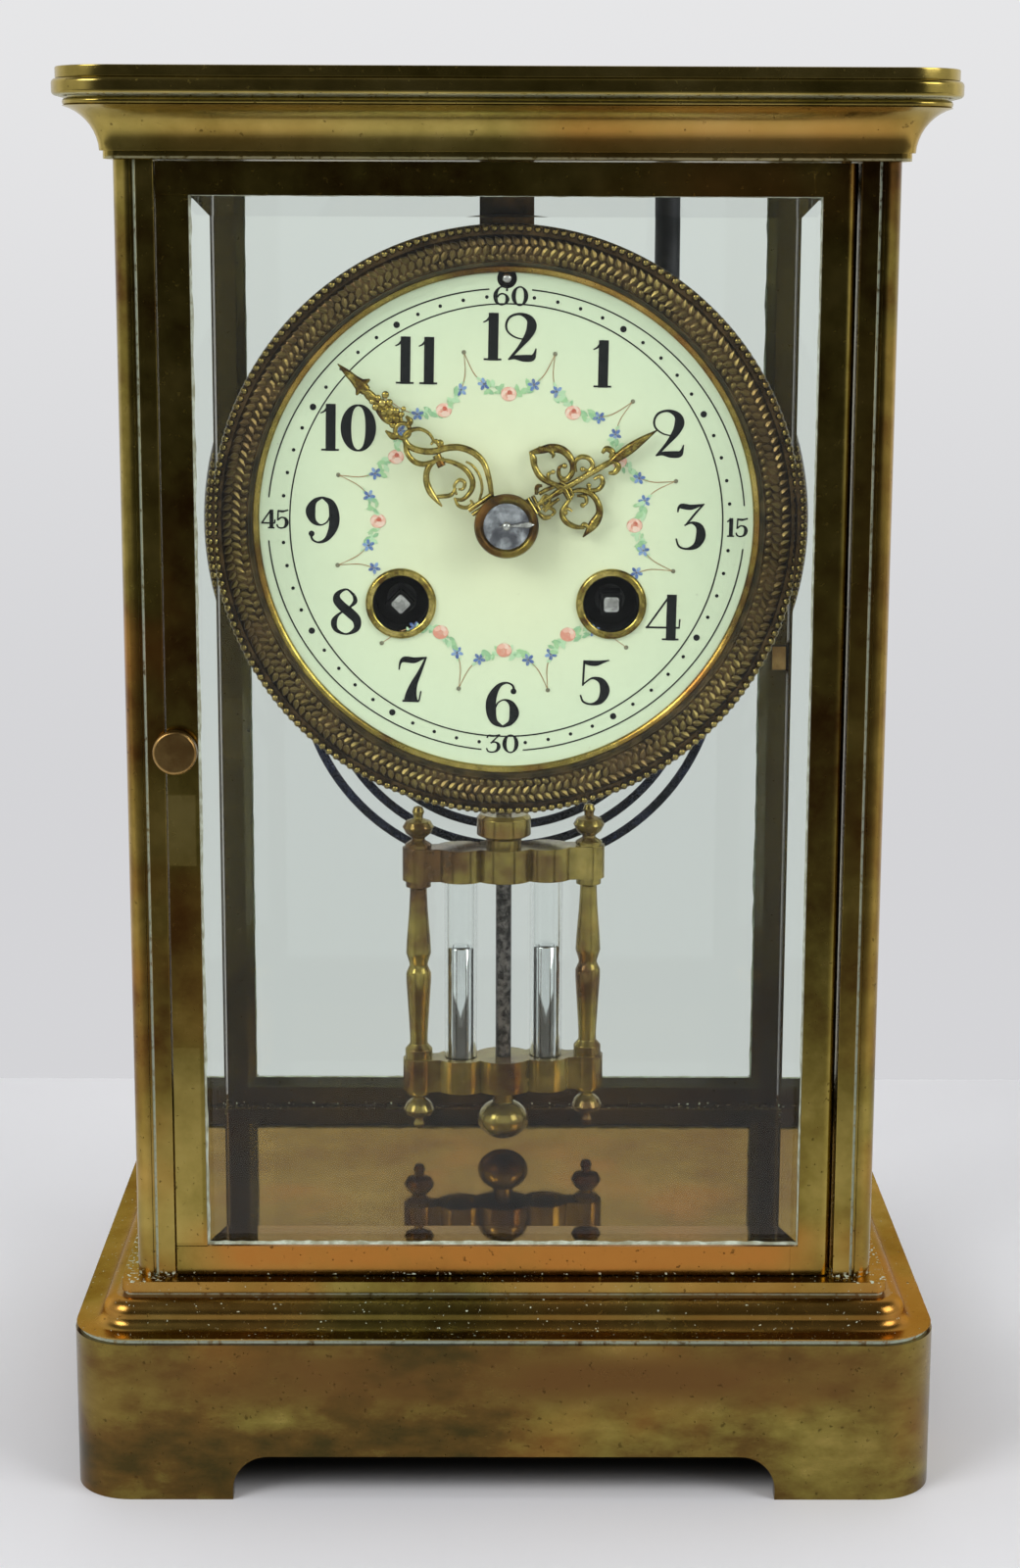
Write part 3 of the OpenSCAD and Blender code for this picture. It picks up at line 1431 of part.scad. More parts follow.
module bob_pillars() {
  turning_h = pillar_turning[len(pillar_turning) - 1][1];
  for (side = [-1, 1]) translate([side * bob_pillar_gap / 2, 0, 0]) {
    translate([0, 0, bob_low + bob_plate_t - eps])
      turned(concat([[0, 0]], pillar_turning, [[0, turning_h]]), (pillar_span + 2 * eps) / turning_h);
    translate([0, 0, bob_top - eps]) turned(finial_turning, 1);
    translate([0, 0, bob_low + eps]) mirror([0, 0, 1]) turned(finial_turning, 1);
  }
}

lobe_r = (bob_w - bob_pillar_gap) / 2;
vial_lobe_r = vial_d / 2 + 1.9;
module bob_plate_plan() {
  square([bob_pillar_gap, 5.6], center = true);
  circle(6.4);
  for (side = [-1, 1]) {
    translate([side * bob_pillar_gap / 2, 0]) circle(lobe_r);
    translate([side * vial_gap / 2, 0]) circle(vial_lobe_r);
  }
}

collar_h = 7;
collar_turning = [[0, 0], [3.7, 0], [3.7, 1.6], [5.7, 2.6], [5.7, 6.2], [5, collar_h], [0, collar_h]];
vial_top_hold = 4;
vial_nib = 1.2;
module bob_frame() {
  color("goldenrod") at_pivot() rotate(bob_twist) difference() {
    union() {
      for (z = [bob_low, bob_top - bob_plate_t])
        translate([0, 0, z]) linear_extrude(bob_plate_t) bob_plate_plan();
      bob_pillars();
      translate([0, 0, bob_top - eps]) turned(collar_turning, 1);
    }
    translate([0, 0, bob_low - 1]) cylinder(r = rod_r + run, h = bob_h + collar_h + 2);
    for (side = [-1, 1]) translate([side * vial_gap / 2, 0, bob_low - 1])
      cylinder(r = vial_d / 2 + run, h = bob_h - bob_plate_t + vial_top_hold + 1 + seat);
  }
}

vial_low = bob_low - vial_nib;
vial_top = bob_top - bob_plate_t + vial_top_hold;
module mercury_vials() {
  r = vial_d / 2;
  color("lightcyan", 0.4) at_pivot() rotate(bob_twist) for (side = [-1, 1])
    translate([side * vial_gap / 2, 0, 0]) difference() {
      union() {
        translate([0, 0, vial_low + r / 2]) cylinder(r = r, h = vial_top - vial_low - r / 2);
        translate([0, 0, vial_low]) cylinder(r1 = r * 0.6, r2 = r, h = r / 2);
      }
      translate([0, 0, vial_low + r / 2]) cylinder(r = r - vial_wall, h = bob_h);
    }
}

module mercury() {
  r = vial_d / 2;
  color("gainsboro") at_pivot() rotate(bob_twist) for (side = [-1, 1])
    translate([side * vial_gap / 2, 0, vial_low + r / 2 + seat])
      cylinder(r = r - vial_wall - seat, h = mercury_h + bob_plate_t);
}

module rating_nut() {
  half = [for (i = [0:12]) let (a = -90 + 15 * i) [nut_d / 2 * cos(a), nut_h / 2 + nut_h / 2 * sin(a)]];
  color("goldenrod") at_pivot() translate([0, 0, nut_low]) difference() {
    union() {
      rotate_extrude() polygon([for (p = half) [max(0, p[0]), p[1]]]);
      translate([0, 0, nut_h - 0.6]) cylinder(r = nut_neck_r, h = nut_neck_h + 0.6);
    }
    translate([0, 0, 1.6]) cylinder(r = rod_r + run, h = nut_h + nut_neck_h);
  }
}

plinth();
base_moulding();
base_floor();
post_front_left();
post_front_right();
post_rear_left();
post_rear_right();
cornice();
cornice_lid();
side_glass_left();
side_glass_right();
case_bolts();
movement_hanger();
front_plate();
back_plate();
plate_pillars();
movement_screws();
dial_pan();
dial();
bezel();
winding_rings();
suspension_cock();
gong_post();
gong_block();
gong();
winding_clicks();
front_door_frame();
front_glass();
front_hinge_pins();
front_latch();
rear_door_frame();
rear_glass();
rear_hinge_pins();
rear_latch();
minute_hand();
hand_collet();
cannon_pinion();
hour_hand();
hour_wheel();
motion_wheel();
centre_wheel();
second_wheel();
third_wheel();
escape_wheel();
going_barrel();
going_arbor();
strike_barrel();
strike_arbor();
strike_second_wheel();
pin_wheel();
warning_wheel();
fly();
hammer();
anchor();
suspension_spring();
pendulum_rod();
bob_frame();
mercury_vials();
mercury();
rating_nut();
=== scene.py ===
import json
import math
import random

import bmesh
import bpy
from mathutils import Matrix, Vector


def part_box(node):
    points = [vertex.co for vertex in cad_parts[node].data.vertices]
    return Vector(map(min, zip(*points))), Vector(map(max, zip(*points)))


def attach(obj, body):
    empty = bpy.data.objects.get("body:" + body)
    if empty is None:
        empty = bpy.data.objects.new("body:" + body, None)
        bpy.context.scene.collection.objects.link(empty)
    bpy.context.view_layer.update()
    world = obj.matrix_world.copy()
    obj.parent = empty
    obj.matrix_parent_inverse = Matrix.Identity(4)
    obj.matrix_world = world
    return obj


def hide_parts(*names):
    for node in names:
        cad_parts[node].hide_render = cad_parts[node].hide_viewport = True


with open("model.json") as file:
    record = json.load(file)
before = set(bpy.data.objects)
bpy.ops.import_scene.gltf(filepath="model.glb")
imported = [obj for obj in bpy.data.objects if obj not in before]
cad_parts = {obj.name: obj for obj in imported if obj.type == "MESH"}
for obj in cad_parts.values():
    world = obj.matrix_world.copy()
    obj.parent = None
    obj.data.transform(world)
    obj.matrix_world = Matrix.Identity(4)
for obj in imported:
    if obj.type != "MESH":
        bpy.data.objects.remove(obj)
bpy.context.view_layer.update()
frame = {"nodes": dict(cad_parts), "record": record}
nodes = frame["nodes"]
scene = bpy.context.scene
mm = 0.001
print("frame loaded:", len(nodes), "nodes")


def newObject(name, data):
    obj = bpy.data.objects.new(name, data)
    scene.collection.objects.link(obj)
    return obj


def newMesh(name, bm, *materials):
    mesh = bpy.data.meshes.new(name)
    bm.to_mesh(mesh)
    bm.free()
    for material in materials:
        mesh.materials.append(material)
    return mesh


def vert(bm, x, y, z):
    # a corner, in mm
    return bm.verts.new((x * mm, y * mm, z * mm))


# Camera, fitted to the case edges in the photo
camera = {"place": (-2.55, -560.9, 235.6), "pitch": 11.37, "yaw": 0.374, "roll": 0.198, "focal": 2900.5,
          "imageHeight": 1600, "sensor": 36.0, "clip": (0.01, 50)}


def placeCamera(c):
    pitch, yaw, roll = (math.radians(c[k]) for k in ("pitch", "yaw", "roll"))
    ahead = Vector((math.sin(yaw) * math.cos(pitch), math.cos(yaw) * math.cos(pitch), -math.sin(pitch)))
    level = Vector((math.cos(yaw), -math.sin(yaw), 0))
    upright = level.cross(ahead)
    right = level * math.cos(roll) + upright * math.sin(roll)
    up = upright * math.cos(roll) - level * math.sin(roll)
    data = bpy.data.cameras.new("viewer")
    data.sensor_width = c["sensor"]
    data.lens = c["focal"] * c["sensor"] / c["imageHeight"]
    data.clip_start, data.clip_end = c["clip"]
    scene.camera = newObject("viewer", data)
    turn = Matrix((right, up, -ahead)).transposed().to_4x4()
    scene.camera.matrix_world = Matrix.Translation(Vector(c["place"]) * mm) @ turn


placeCamera(camera)


class Wire:
    # a socket that can be used in Python sums
    def __init__(self, finish, socket):
        self.finish = finish
        self.socket = socket

    def math(self, operation, *terms):
        return self.finish.out(self.finish.node("Math", dict(enumerate(terms)), operation=operation))

    def __add__(self, other): return self.math("ADD", self, other)
    def __radd__(self, other): return self.math("ADD", other, self)
    def __sub__(self, other): return self.math("SUBTRACT", self, other)
    def __rsub__(self, other): return self.math("SUBTRACT", other, self)
    def __mul__(self, other): return self.math("MULTIPLY", self, other)
    def __abs__(self): return self.math("ABSOLUTE", self)
    def __gt__(self, other): return self.math("GREATER_THAN", self, other)

    def upToOne(self):
        return self.math("MINIMUM", self, 1.0)

    def above(self, low, high, first=0.0, last=1.0):
        # eases from first to last between low and high
        return self.finish.out(self.finish.node("MapRange", {0: self, 1: low, 2: high, 3: first, 4: last},
                                                interpolation_type="SMOOTHSTEP"))

    def within(self, low, high, soft):
        # 1 between low and high, with soft shoulders
        return self.above(low - soft, low + soft) * self.above(high - soft, high + soft, 1.0, 0.0)


class Finish:
    # a material whose nodes are made by calls and sums
    def __init__(self, name):
        self.material = bpy.data.materials.new(name)
        self.material.use_nodes = True
        self.tree = self.material.node_tree
        self.tree.nodes.clear()
        self.end = self.tree.nodes.new("ShaderNodeOutputMaterial")

    def node(self, kind, sockets=None, **settings):
        made = self.tree.nodes.new("ShaderNode" + kind)
        for key, value in settings.items():
            setattr(made, key, value)
        for key, value in (sockets or {}).items():
            if isinstance(value, Wire):
                self.tree.links.new(value.socket, made.inputs[key])
            elif hasattr(made.inputs[key].default_value, "__len__") and len(value) == 3 \
                    and len(made.inputs[key].default_value) == 4:
                made.inputs[key].default_value = (*value, 1)
            else:
                made.inputs[key].default_value = value
        return made

    def out(self, made, key=0):
        return Wire(self, made.outputs[key])

    def place(self, stretch=None):
        where = self.out(self.node("TexCoord"), "Object")
        return self.out(self.node("Mapping", {"Vector": where, "Scale": stretch})) if stretch else where

    def split(self, where):
        made = self.node("SeparateXYZ", {0: where})
        return [self.out(made, k) for k in range(3)]

    def noise(self, where, scale, detail, rough):
        return self.out(self.node("TexNoise", {"Vector": where, "Scale": scale, "Detail": detail, "Roughness": rough}))

    def ramp(self, value, stops):
        made = self.node("ValToRGB", {0: value})
        elements = made.color_ramp.elements
        while len(elements) < len(stops):
            elements.new(0.5)
        for stop, (place, colour) in zip(elements, stops):
            stop.position = place
            stop.color = (*colour, 1)
        return self.out(made)

    def mix(self, factor, first, second):
        return self.out(self.node("Mix", {0: factor, 6: first, 7: second}, data_type="RGBA"), 2)

    def bump(self, height, strength, distance):
        return self.out(self.node("Bump", {"Height": height, "Strength": strength, "Distance": distance}))

    def shade(self, sockets):
        made = self.node("BsdfPrincipled", sockets)
        self.tree.links.new(made.outputs[0], self.end.inputs[0])
        return self.material


# Finishes
brassTones = {"sootAndShadow": (0.035, 0.022, 0.007), "brown": (0.12, 0.058, 0.014), "olive": (0.25, 0.19, 0.04),
              "gold": (0.42, 0.32, 0.085), "bright": (0.62, 0.49, 0.17), "copper": (0.48, 0.20, 0.04),
              "residue": (0.58, 0.66, 0.54), "shade": (0.065, 0.05, 0.018), "rust": (0.15, 0.06, 0.018)}
brassStops = {"sootAndShadow": 0.18, "brown": 0.30, "olive": 0.43, "gold": 0.56, "bright": 0.74}
brassPlain = {"fine": 0.28, "contrast": 1.0, "haze": 0.16, "bump": 0.06, "satin": 0.0, "stretch": None,
              "grain": (40, 40, 900), "grazing": (1.0, 1.0, 1.0), "paleBands": [], "copperBands": [], "brownBands": []}
# thresholds for wear, and in rear the depth where the painted shade at the back of the case begins
wearAndShadeAt = {"rub": (0.55, 0.72), "rust": (0.3, 0.62), "rear": (0.0, 0.03), "specks": (0.66, 0.74), "chalk": (0.32, 0.5)}
bandEdge = {"pale": (0.0002, 0.0002), "copper": (0.008, 0.004, 0.003), "brown": (0.02, 0.004)}


def inBand(axes, low, high, edges):
    span = 1.0
    for axis, a, b, soft in zip(axes, low, high, edges):
        span = axis.within(a * mm, b * mm, soft) * span
    return span


def agedBrass(name, look):
    # clouds of tarnish from sooty brown over olive to bare gold, with coppery patches where it was rubbed
    f = Finish(name)
    t = brassTones
    look = dict(brassPlain, **look)
    where = f.place()
    x, y, z = f.split(where)
    drawn = f.place(look["stretch"])
    clouds = f.noise(drawn, look["patch"], 4.0, 0.62)
    mottle = f.noise(drawn, look["patch"] * 5, 5.0, 0.7)
    tone = clouds * (1.0 - look["fine"]) + mottle * look["fine"]
    tone = (tone - 0.5) * look["contrast"] + 0.5 + look["lift"]
    for low, high, most in look["paleBands"]:
        tone = tone + inBand((x, z), low, high, bandEdge["pale"]) * most
    colour = f.ramp(tone, [(place, t[key]) for key, place in brassStops.items()])
    rub = f.noise(where, look["patch"] * 0.7 + 3, 3.0, 0.5)
    copper = (rub + look["copper"]).above(*wearAndShadeAt["rub"]) * look["copperMost"]
    for low, high, most in look["copperBands"]:
        copper = copper + inBand((x, y, z), low, high, bandEdge["copper"]) * most * (0.45 + mottle * 0.9)
    colour = f.mix(copper.upToOne(), colour, t["copper"])
    for low, high, most in look["brownBands"]:
        span = inBand((x, z), low, high, bandEdge["brown"])
        colour = f.mix(span * most * clouds.above(*wearAndShadeAt["rust"]), colour, t["rust"])
    if "dull" in look:
        colour = f.mix(look["dull"][0], colour, look["dull"][1])
    # painted shade: towards the back of the case the brass is darkened to the shade tone, for the shade and dim
    # reflections on the rear parts
    if "rear" in look:
        colour = f.mix(y.above(*wearAndShadeAt["rear"]) * look["rear"], colour, t["shade"])
    specks = f.noise(where, 900, 2.0, 0.6).above(*wearAndShadeAt["specks"])
    colour = f.mix(specks * 0.5, colour, t["sootAndShadow"])
    rough = look["rough"] + mottle * look["haze"] + specks * 0.2
    metal = 1.0 - look["satin"]
    scratch = f.noise(f.place(look["grain"]), 3.0, 3.0, 0.6)
    if "residue" in look:
        chalk = f.noise(where, 900, 3.0, 0.7).above(*wearAndShadeAt["chalk"])
        dirt = (look["residue"](f, x, y, z) * (0.25 + chalk * 0.75)).upToOne()
        colour = f.mix(dirt, colour, t["residue"])
        rough = rough + dirt * 0.5
        metal = metal - dirt * 0.9
    return f.shade({"Base Color": colour, "Metallic": metal, "Roughness": rough, "Specular Tint": look["grazing"],
                    "Normal": f.bump(scratch * 0.5 + mottle * 0.5, look["bump"], 0.0004)})


def cloudTint(f, where, scale, colour, dark):
    cloud = f.noise(where, scale, 4.0, 0.6)
    return cloud, f.mix(cloud.above(0.35, 0.7), dark, colour)


def satinMetal(name, colour, dark, rough, scale=160, metallic=1.0, gloss=0.5):
    f = Finish(name)
    where = f.place()
    cloud, tint = cloudTint(f, where, scale, colour, dark)
    fine = f.noise(where, scale * 9, 2.0, 0.6)
    return f.shade({"Base Color": tint, "Metallic": metallic, "Roughness": rough + fine * 0.14,
                    "Specular IOR Level": gloss, "Normal": f.bump(fine, 0.05, 0.0002)})


def clearGlass(name, tint):
    f = Finish(name)
    smear = f.noise(f.place((1, 1, 0.4)), 30, 3.0, 0.6)
    return f.shade({"Base Color": tint, "Metallic": 0.0, "Roughness": smear.above(0.62, 0.9) * 0.03,
                    "IOR": 1.5, "Transmission Weight": 1.0, "Specular Tint": (0.45, 0.46, 0.46)})


# Pale polish residue and dust: where it lies on the case, in metres
seams = {"grooveX": (0.06485, 0.06535), "grooveY": (0.05135, 0.05185), "grooveEdge": 0.00012, "frontFace": 0.0546,
         "sideFace": 0.068, "postFoot": (0.04, 0.0408), "plinthTop": (0.0311, 0.0314), "quirk": (0.03674, 0.03705),
         "quirkEdge": 0.00008, "deck": 0.0393, "deckSides": (0.06, 0.066), "corniceFoot": (0.2446, 0.24495),
         "corniceTop": (0.2549, 0.2553), "corniceEdge": 0.0002, "doorFoot": (0.0399, 0.0405)}


def dust(f, scale, least):
    return f.noise(f.place(), scale, 1.0, 0.5).above(least, least + 0.03)


def postGrooves(f, x, y, z):
    # in the two grooves of each post
    grooveX = abs(x).within(*seams["grooveX"], seams["grooveEdge"]) * (abs(y) > seams["frontFace"])
    grooveY = abs(y).within(*seams["grooveY"], seams["grooveEdge"]) * (abs(x) > seams["sideFace"])
    foot = (1.0 - z.above(*seams["postFoot"])) * dust(f, 1100, 0.55)
    return grooveX * 0.85 + grooveY * 0.85 + foot


def mouldingJoints(f, x, y, z):
    # in the groove over the plinth and at the foot of the deck, with dust on the deck and the flare
    low = 1.0 - z.above(*seams["plinthTop"])
    quirk = z.within(*seams["quirk"], seams["quirkEdge"])
    deck = (z > seams["deck"]) * abs(x).above(*seams["deckSides"]) * dust(f, 1300, 0.62)
    return low + quirk * 0.8 + deck + dust(f, 1700, 0.73)


def corniceJoints(f, x, y, z):
    foot, top = (z.within(*seams[key], seams["corniceEdge"]) for key in ("corniceFoot", "corniceTop"))
    return foot * 0.4 + top * 0.45


def doorJoints(f, x, y, z):
    return (1.0 - z.above(*seams["doorFoot"])) * dust(f, 1100, 0.67)


looks = {
    "plinthBrass": {
        "patch": 38, "stretch": (0.5, 0.5, 1.0), "lift": -0.2, "contrast": 1.6, "copper": 0.06, "copperMost": 0.3,
        "rough": 0.17, "grain": (900, 900, 60), "bump": 0.05, "fine": 0.3, "dull": (0.2, (0.20, 0.17, 0.055)),
        "brownBands": [((-62, 19), (66, 29.5), 1.0), ((-90, 6), (-72, 29.5), 0.75), ((73, 6), (90, 29.5), 0.6)]},
    "mouldingBrass": {
        "patch": 22, "lift": -0.08, "copper": 0.08, "copperMost": 0.5, "rough": 0.2, "haze": 0.12, "bump": 0.02,
        "grazing": (0.7, 0.56, 0.42), "residue": mouldingJoints,
        "copperBands": [((-81, -67, 31), (-70, 67, 40), 0.3), ((70, -67, 31), (81, 67, 40), 0.3)]},
    "postBrass": {
        "patch": 30, "lift": -0.09, "copper": 0.0, "copperMost": 0.45, "rough": 0.14, "grain": (900, 900, 30),
        # rear: painted shade on the rear posts
        "bump": 0.03, "rear": 0.85, "residue": postGrooves,
        "copperBands": [((65.5, -56, 80), (70, -40, 215), 0.55), ((-70, -56, 55), (-65.5, -40, 150), 0.5)]},
    "corniceBrass": {
        "patch": 22, "lift": 0.0, "copper": -0.02, "copperMost": 0.4, "rough": 0.12, "bump": 0.03,
        "residue": corniceJoints,
        "copperBands": [((5, -75, 245.5), (70, -50, 252), 0.6), ((-60, -75, 245.5), (-30, -50, 251), 0.25)]},
    "lidBrass": {"patch": 20, "lift": 0.04, "copper": -0.04, "copperMost": 0.4, "rough": 0.14},
    "doorBrass": {
        "patch": 28, "lift": -0.1, "copper": -0.02, "copperMost": 0.4, "rough": 0.13, "grain": (900, 60, 60),
        # rear: painted shade on the rear door frame
        "bump": 0.03, "rear": 0.85, "residue": doorJoints,
        "paleBands": [((-62.1, 118.5), (-56.4, 131.7), 0.16), ((-62.1, 46), (-56.4, 84), 0.08)],
        "copperBands": [((-56, -57, 40), (56, -45, 49.5), 1.3), ((-62, -57, 84), (-50, -45, 118), 0.35),
                        ((15, -57, 233), (62, -45, 243), 0.25)]},
    "floorBrass": {
        "patch": 30, "lift": -0.06, "copper": 0.08, "copperMost": 0.85, "rough": 0.02, "haze": 0.06, "bump": 0.008,
        "dull": (0.55, (0.37, 0.265, 0.175)), "grazing": (0.62, 0.48, 0.34)},
    "movementBrass": {"patch": 60, "lift": 0.1, "copper": -0.1, "copperMost": 0.2, "rough": 0.28},
    "hangerBrass": {"patch": 60, "lift": -0.3, "copper": -0.1, "copperMost": 0.2, "rough": 0.28},
    "wheelBrass": {"patch": 90, "lift": 0.16, "copper": -0.12, "copperMost": 0.2, "rough": 0.24, "bump": 0.04},
    "bezelBronze": {
        "patch": 55, "lift": -0.1, "copper": 0.03, "copperMost": 0.25, "rough": 0.24, "bump": 0.03,
        "dull": (0.72, (0.112, 0.08, 0.037))},
    "bezelBead": {
        "patch": 55, "lift": 0.0, "copper": 0.03, "copperMost": 0.25, "rough": 0.05, "haze": 0.04, "bump": 0.03,
        "dull": (0.55, (0.17, 0.125, 0.055))},
    "rimGilt": {
        "patch": 45, "lift": -0.08, "contrast": 1.5, "copper": 0.05, "copperMost": 0.4, "rough": 0.12, "bump": 0.02},
    "gilt": {
        "patch": 300, "lift": 0.0, "contrast": 1.7, "copper": -0.1, "copperMost": 0.2, "rough": 0.04, "bump": 0.05},
    # a darker copy of the gilt, for painted shade on the broad strands of the hands
    "giltDark": {
        "patch": 420, "lift": -0.12, "contrast": 1.6, "copper": -0.05, "copperMost": 0.3, "rough": 0.12, "bump": 0.08},
    "collarBrass": {"patch": 120, "lift": -0.17, "copper": 0.04, "copperMost": 0.4, "rough": 0.24, "bump": 0.05},
    "pendulumBrass": {
        "patch": 70, "lift": -0.13, "copper": 0.0, "copperMost": 0.35, "rough": 0.1, "haze": 0.08, "bump": 0.015,
        "satin": 0.32},
}
metals = {
    "bezelRecess": ((0.11, 0.066, 0.026), (0.03, 0.018, 0.008), 0.26, 300),
    "knobCopper": ((0.48, 0.31, 0.11), (0.26, 0.15, 0.05), 0.26),
    "steel": ((0.42, 0.42, 0.41), (0.22, 0.21, 0.2), 0.26),
    "rodSteel": ((0.20, 0.18, 0.17), (0.03, 0.027, 0.025), 0.3, 700),
    "dishSteel": ((0.50, 0.51, 0.55), (0.10, 0.10, 0.12), 0.12, 300),
    "keySteel": ((0.66, 0.65, 0.64), (0.34, 0.33, 0.32), 0.16, 500),
    "blackIron": ((0.05, 0.05, 0.055), (0.02, 0.02, 0.022), 0.42),
    "gongSteel": ((0.025, 0.03, 0.06), (0.008, 0.009, 0.014), 0.2),
    "quicksilver": ((0.78, 0.79, 0.81), (0.62, 0.63, 0.65), 0.03, 30),
    # painted shade for the insides of the winding holes and the regulator eye
    "holeBlack": ((0.006, 0.006, 0.006), (0.002, 0.002, 0.002), 0.7, 300, 0.0, 0.06),
    "putty": ((0.60, 0.66, 0.55), (0.30, 0.30, 0.20), 0.7, 500, 0.0),
}
glasses = {"paneGlass": (0.905, 0.945, 0.91), "vialGlass": (0.98, 0.99, 0.99)}
finish = {name: agedBrass(name, look) for name, look in looks.items()}
finish.update({name: satinMetal(name, *row) for name, row in metals.items()})
finish.update({name: clearGlass(name, tint) for name, tint in glasses.items()})
print("finishes made:", len(finish))

bodyOf = {n: body for body, names in frame["record"]["behaviour"]["bodies"].items() for n in names}


# Set: a pale table that ends behind the clock, and a studio with bright sides and a dim front
stage = {"tableEnd": 0.196, "reach": 1.6, "table": (0.88, 0.88, 0.91), "fade": (-0.42, -0.17), "mirroredDimRoom": (0.12,) * 3,
         "insideY": (-0.057, 0.057, 0.007), "insideX": (0.06, 0.074), "sootAndShadow": (0.008,) * 3,
         "wall": (0.80, 0.80, 0.81), "wallLow": (0.66, 0.66, 0.68), "wallRise": (-0.22, 0.12), "dimFront": 0.04,
         "sides": 0.6, "sideFrom": (0.5, 0.8), "sideHigh": (-0.3, 0.6, 0.2), "back": 0.75, "backFrom": (0.1, 0.55),
         "overhead": 0.08, "overheadFrom": (0.82, 0.96), "ambient": 0.36}
lamps = [{"name": "keyLeft", "at": (-0.95, -0.85, 0.95), "aim": (0, 0, 0.13), "size": 0.7, "power": 9},
         {"name": "fillRight", "at": (1.0, -0.7, 0.75), "aim": (0, 0, 0.13), "size": 0.7, "power": 6.5},
         {"name": "above", "at": (0.0, 0.1, 1.3), "aim": (0, 0, 0.1), "size": 0.9, "power": 4, "unseen": True}]


def setTable(s):
    f = Finish("tableCard")
    where = f.place()
    x, y, z = f.split(where)
    tone = f.mix(f.noise(where, 2.2, 3.0, 0.5), s["table"], tuple(0.965 * v for v in s["table"]))
    # painted reflection: where the brass and the panes mirror it, the table darkens towards the front, standing in for
    # the dim room in front
    rays = f.node("LightPath")
    mirrored = f.out(rays, "Is Glossy Ray") * (1.0 - f.out(rays, "Is Transmission Ray"))
    tone = f.mix(mirrored * (1.0 - y.above(*s["fade"])), tone, s["mirroredDimRoom"])
    # painted shadow: the ground inside the plinth is darkened to near black, where the plinth shades it
    tone = f.mix(y.within(*s["insideY"]) * (1.0 - abs(x).above(*s["insideX"])), tone, s["sootAndShadow"])
    grain = f.noise(where, 700, 2.0, 0.6)
    f.shade({"Base Color": tone, "Roughness": 0.62, "Normal": f.bump(grain, 0.05, 0.0003)})
    bm = bmesh.new()
    r, end = s["reach"], s["tableEnd"]
    bm.faces.new([bm.verts.new(p) for p in ((-r, -r, 0), (r, -r, 0), (r, end, 0), (-r, end, 0))])
    obj = newObject("table", newMesh("table", bm, f.material))


def setStudio(s):
    world = bpy.data.worlds.new("studio")
    world.use_nodes = True
    scene.world = world
    f = Finish.__new__(Finish)
    f.tree = world.node_tree
    f.tree.nodes.clear()
    end = f.tree.nodes.new("ShaderNodeOutputWorld")
    x, y, z = f.split(f.out(f.node("TexCoord"), "Generated"))
    rays = f.node("LightPath")
    seen = (f.out(rays, "Is Camera Ray") + f.out(rays, "Is Transmission Ray")).upToOne()
    wall = f.mix(z.above(*s["wallRise"]), s["wallLow"], s["wall"])
    boxes = abs(x).above(*s["sideFrom"]) * z.within(*s["sideHigh"])
    bright = boxes * s["sides"] + y.above(*s["backFrom"]) * s["back"] + z.above(*s["overheadFrom"]) * s["overhead"]
    bright = (bright + s["dimFront"]).upToOne()
    lit = f.mix(bright, (0.0, 0.0, 0.0), (1.0, 1.0, 1.0))
    other = f.mix(f.out(rays, "Is Glossy Ray"), (s["ambient"],) * 3, lit)
    back = f.node("Background", {"Color": f.mix(seen, other, wall), "Strength": 1.0})
    f.tree.links.new(back.outputs[0], end.inputs[0])


def setLamps(rows):
    for row in rows:
        data = bpy.data.lights.new(row["name"], "AREA")
        data.energy, data.size = row["power"], row["size"]
        obj = newObject(row["name"], data)
        obj.visible_glossy = not row.get("unseen", False)
        at = Vector(row["at"])
        turn = (at - Vector(row["aim"])).to_track_quat("Z", "Y").to_matrix().to_4x4()
        obj.matrix_world = Matrix.Translation(at) @ turn


setTable(stage)
setStudio(stage)
setLamps(lamps)
scene.view_settings.view_transform = "Standard"
print("set built")


# Every CAD node gets its finish
dress = {"paneGlass": "side_glass_left side_glass_right front_glass rear_glass", "vialGlass": "mercury_vials",
         "hangerBrass": "movement_hanger",
         "movementBrass": "front_plate back_plate plate_pillars dial_pan suspension_cock",
         "wheelBrass": "cannon_pinion hour_wheel motion_wheel centre_wheel second_wheel third_wheel escape_wheel"
                       " going_barrel strike_barrel strike_second_wheel pin_wheel warning_wheel fly hammer",
         "bezelBronze": "bezel", "gilt": "winding_rings minute_hand hour_hand", "collarBrass": "hand_collet",
         "knobCopper": "front_latch rear_latch front_hinge_pins rear_hinge_pins", "quicksilver": "mercury",
         "steel": "case_bolts movement_screws winding_clicks anchor suspension_spring",
         "rodSteel": "pendulum_rod", "blackIron": "gong_post gong_block", "gongSteel": "gong",
         "pendulumBrass": "bob_frame rating_nut", "plinthBrass": "plinth", "mouldingBrass": "base_moulding",
         "floorBrass": "base_floor", "corniceBrass": "cornice", "lidBrass": "cornice_lid",
         "doorBrass": "front_door_frame rear_door_frame",
         "postBrass": "post_front_left post_front_right post_rear_left post_rear_right"}


def wear(look, names):
    for name in names.split():
        nodes[name].material_slots[0].material = finish[look]


for look, names in dress.items():
    wear(look, names)
for name in (dress["paneGlass"] + " " + dress["vialGlass"]).split():
    nodes[name].visible_shadow = False


def smoothen(mesh, sharp):
    for polygon in mesh.polygons:
        polygon.use_smooth = True
    mesh.set_sharp_from_angle(angle=math.radians(sharp))


def addPiece(name, mesh, body, stands=(), sharp=35):
    if sharp:
        smoothen(mesh, sharp)
    obj = newObject(name, mesh)
    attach(obj, body)
    if stands:
        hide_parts(*stands)


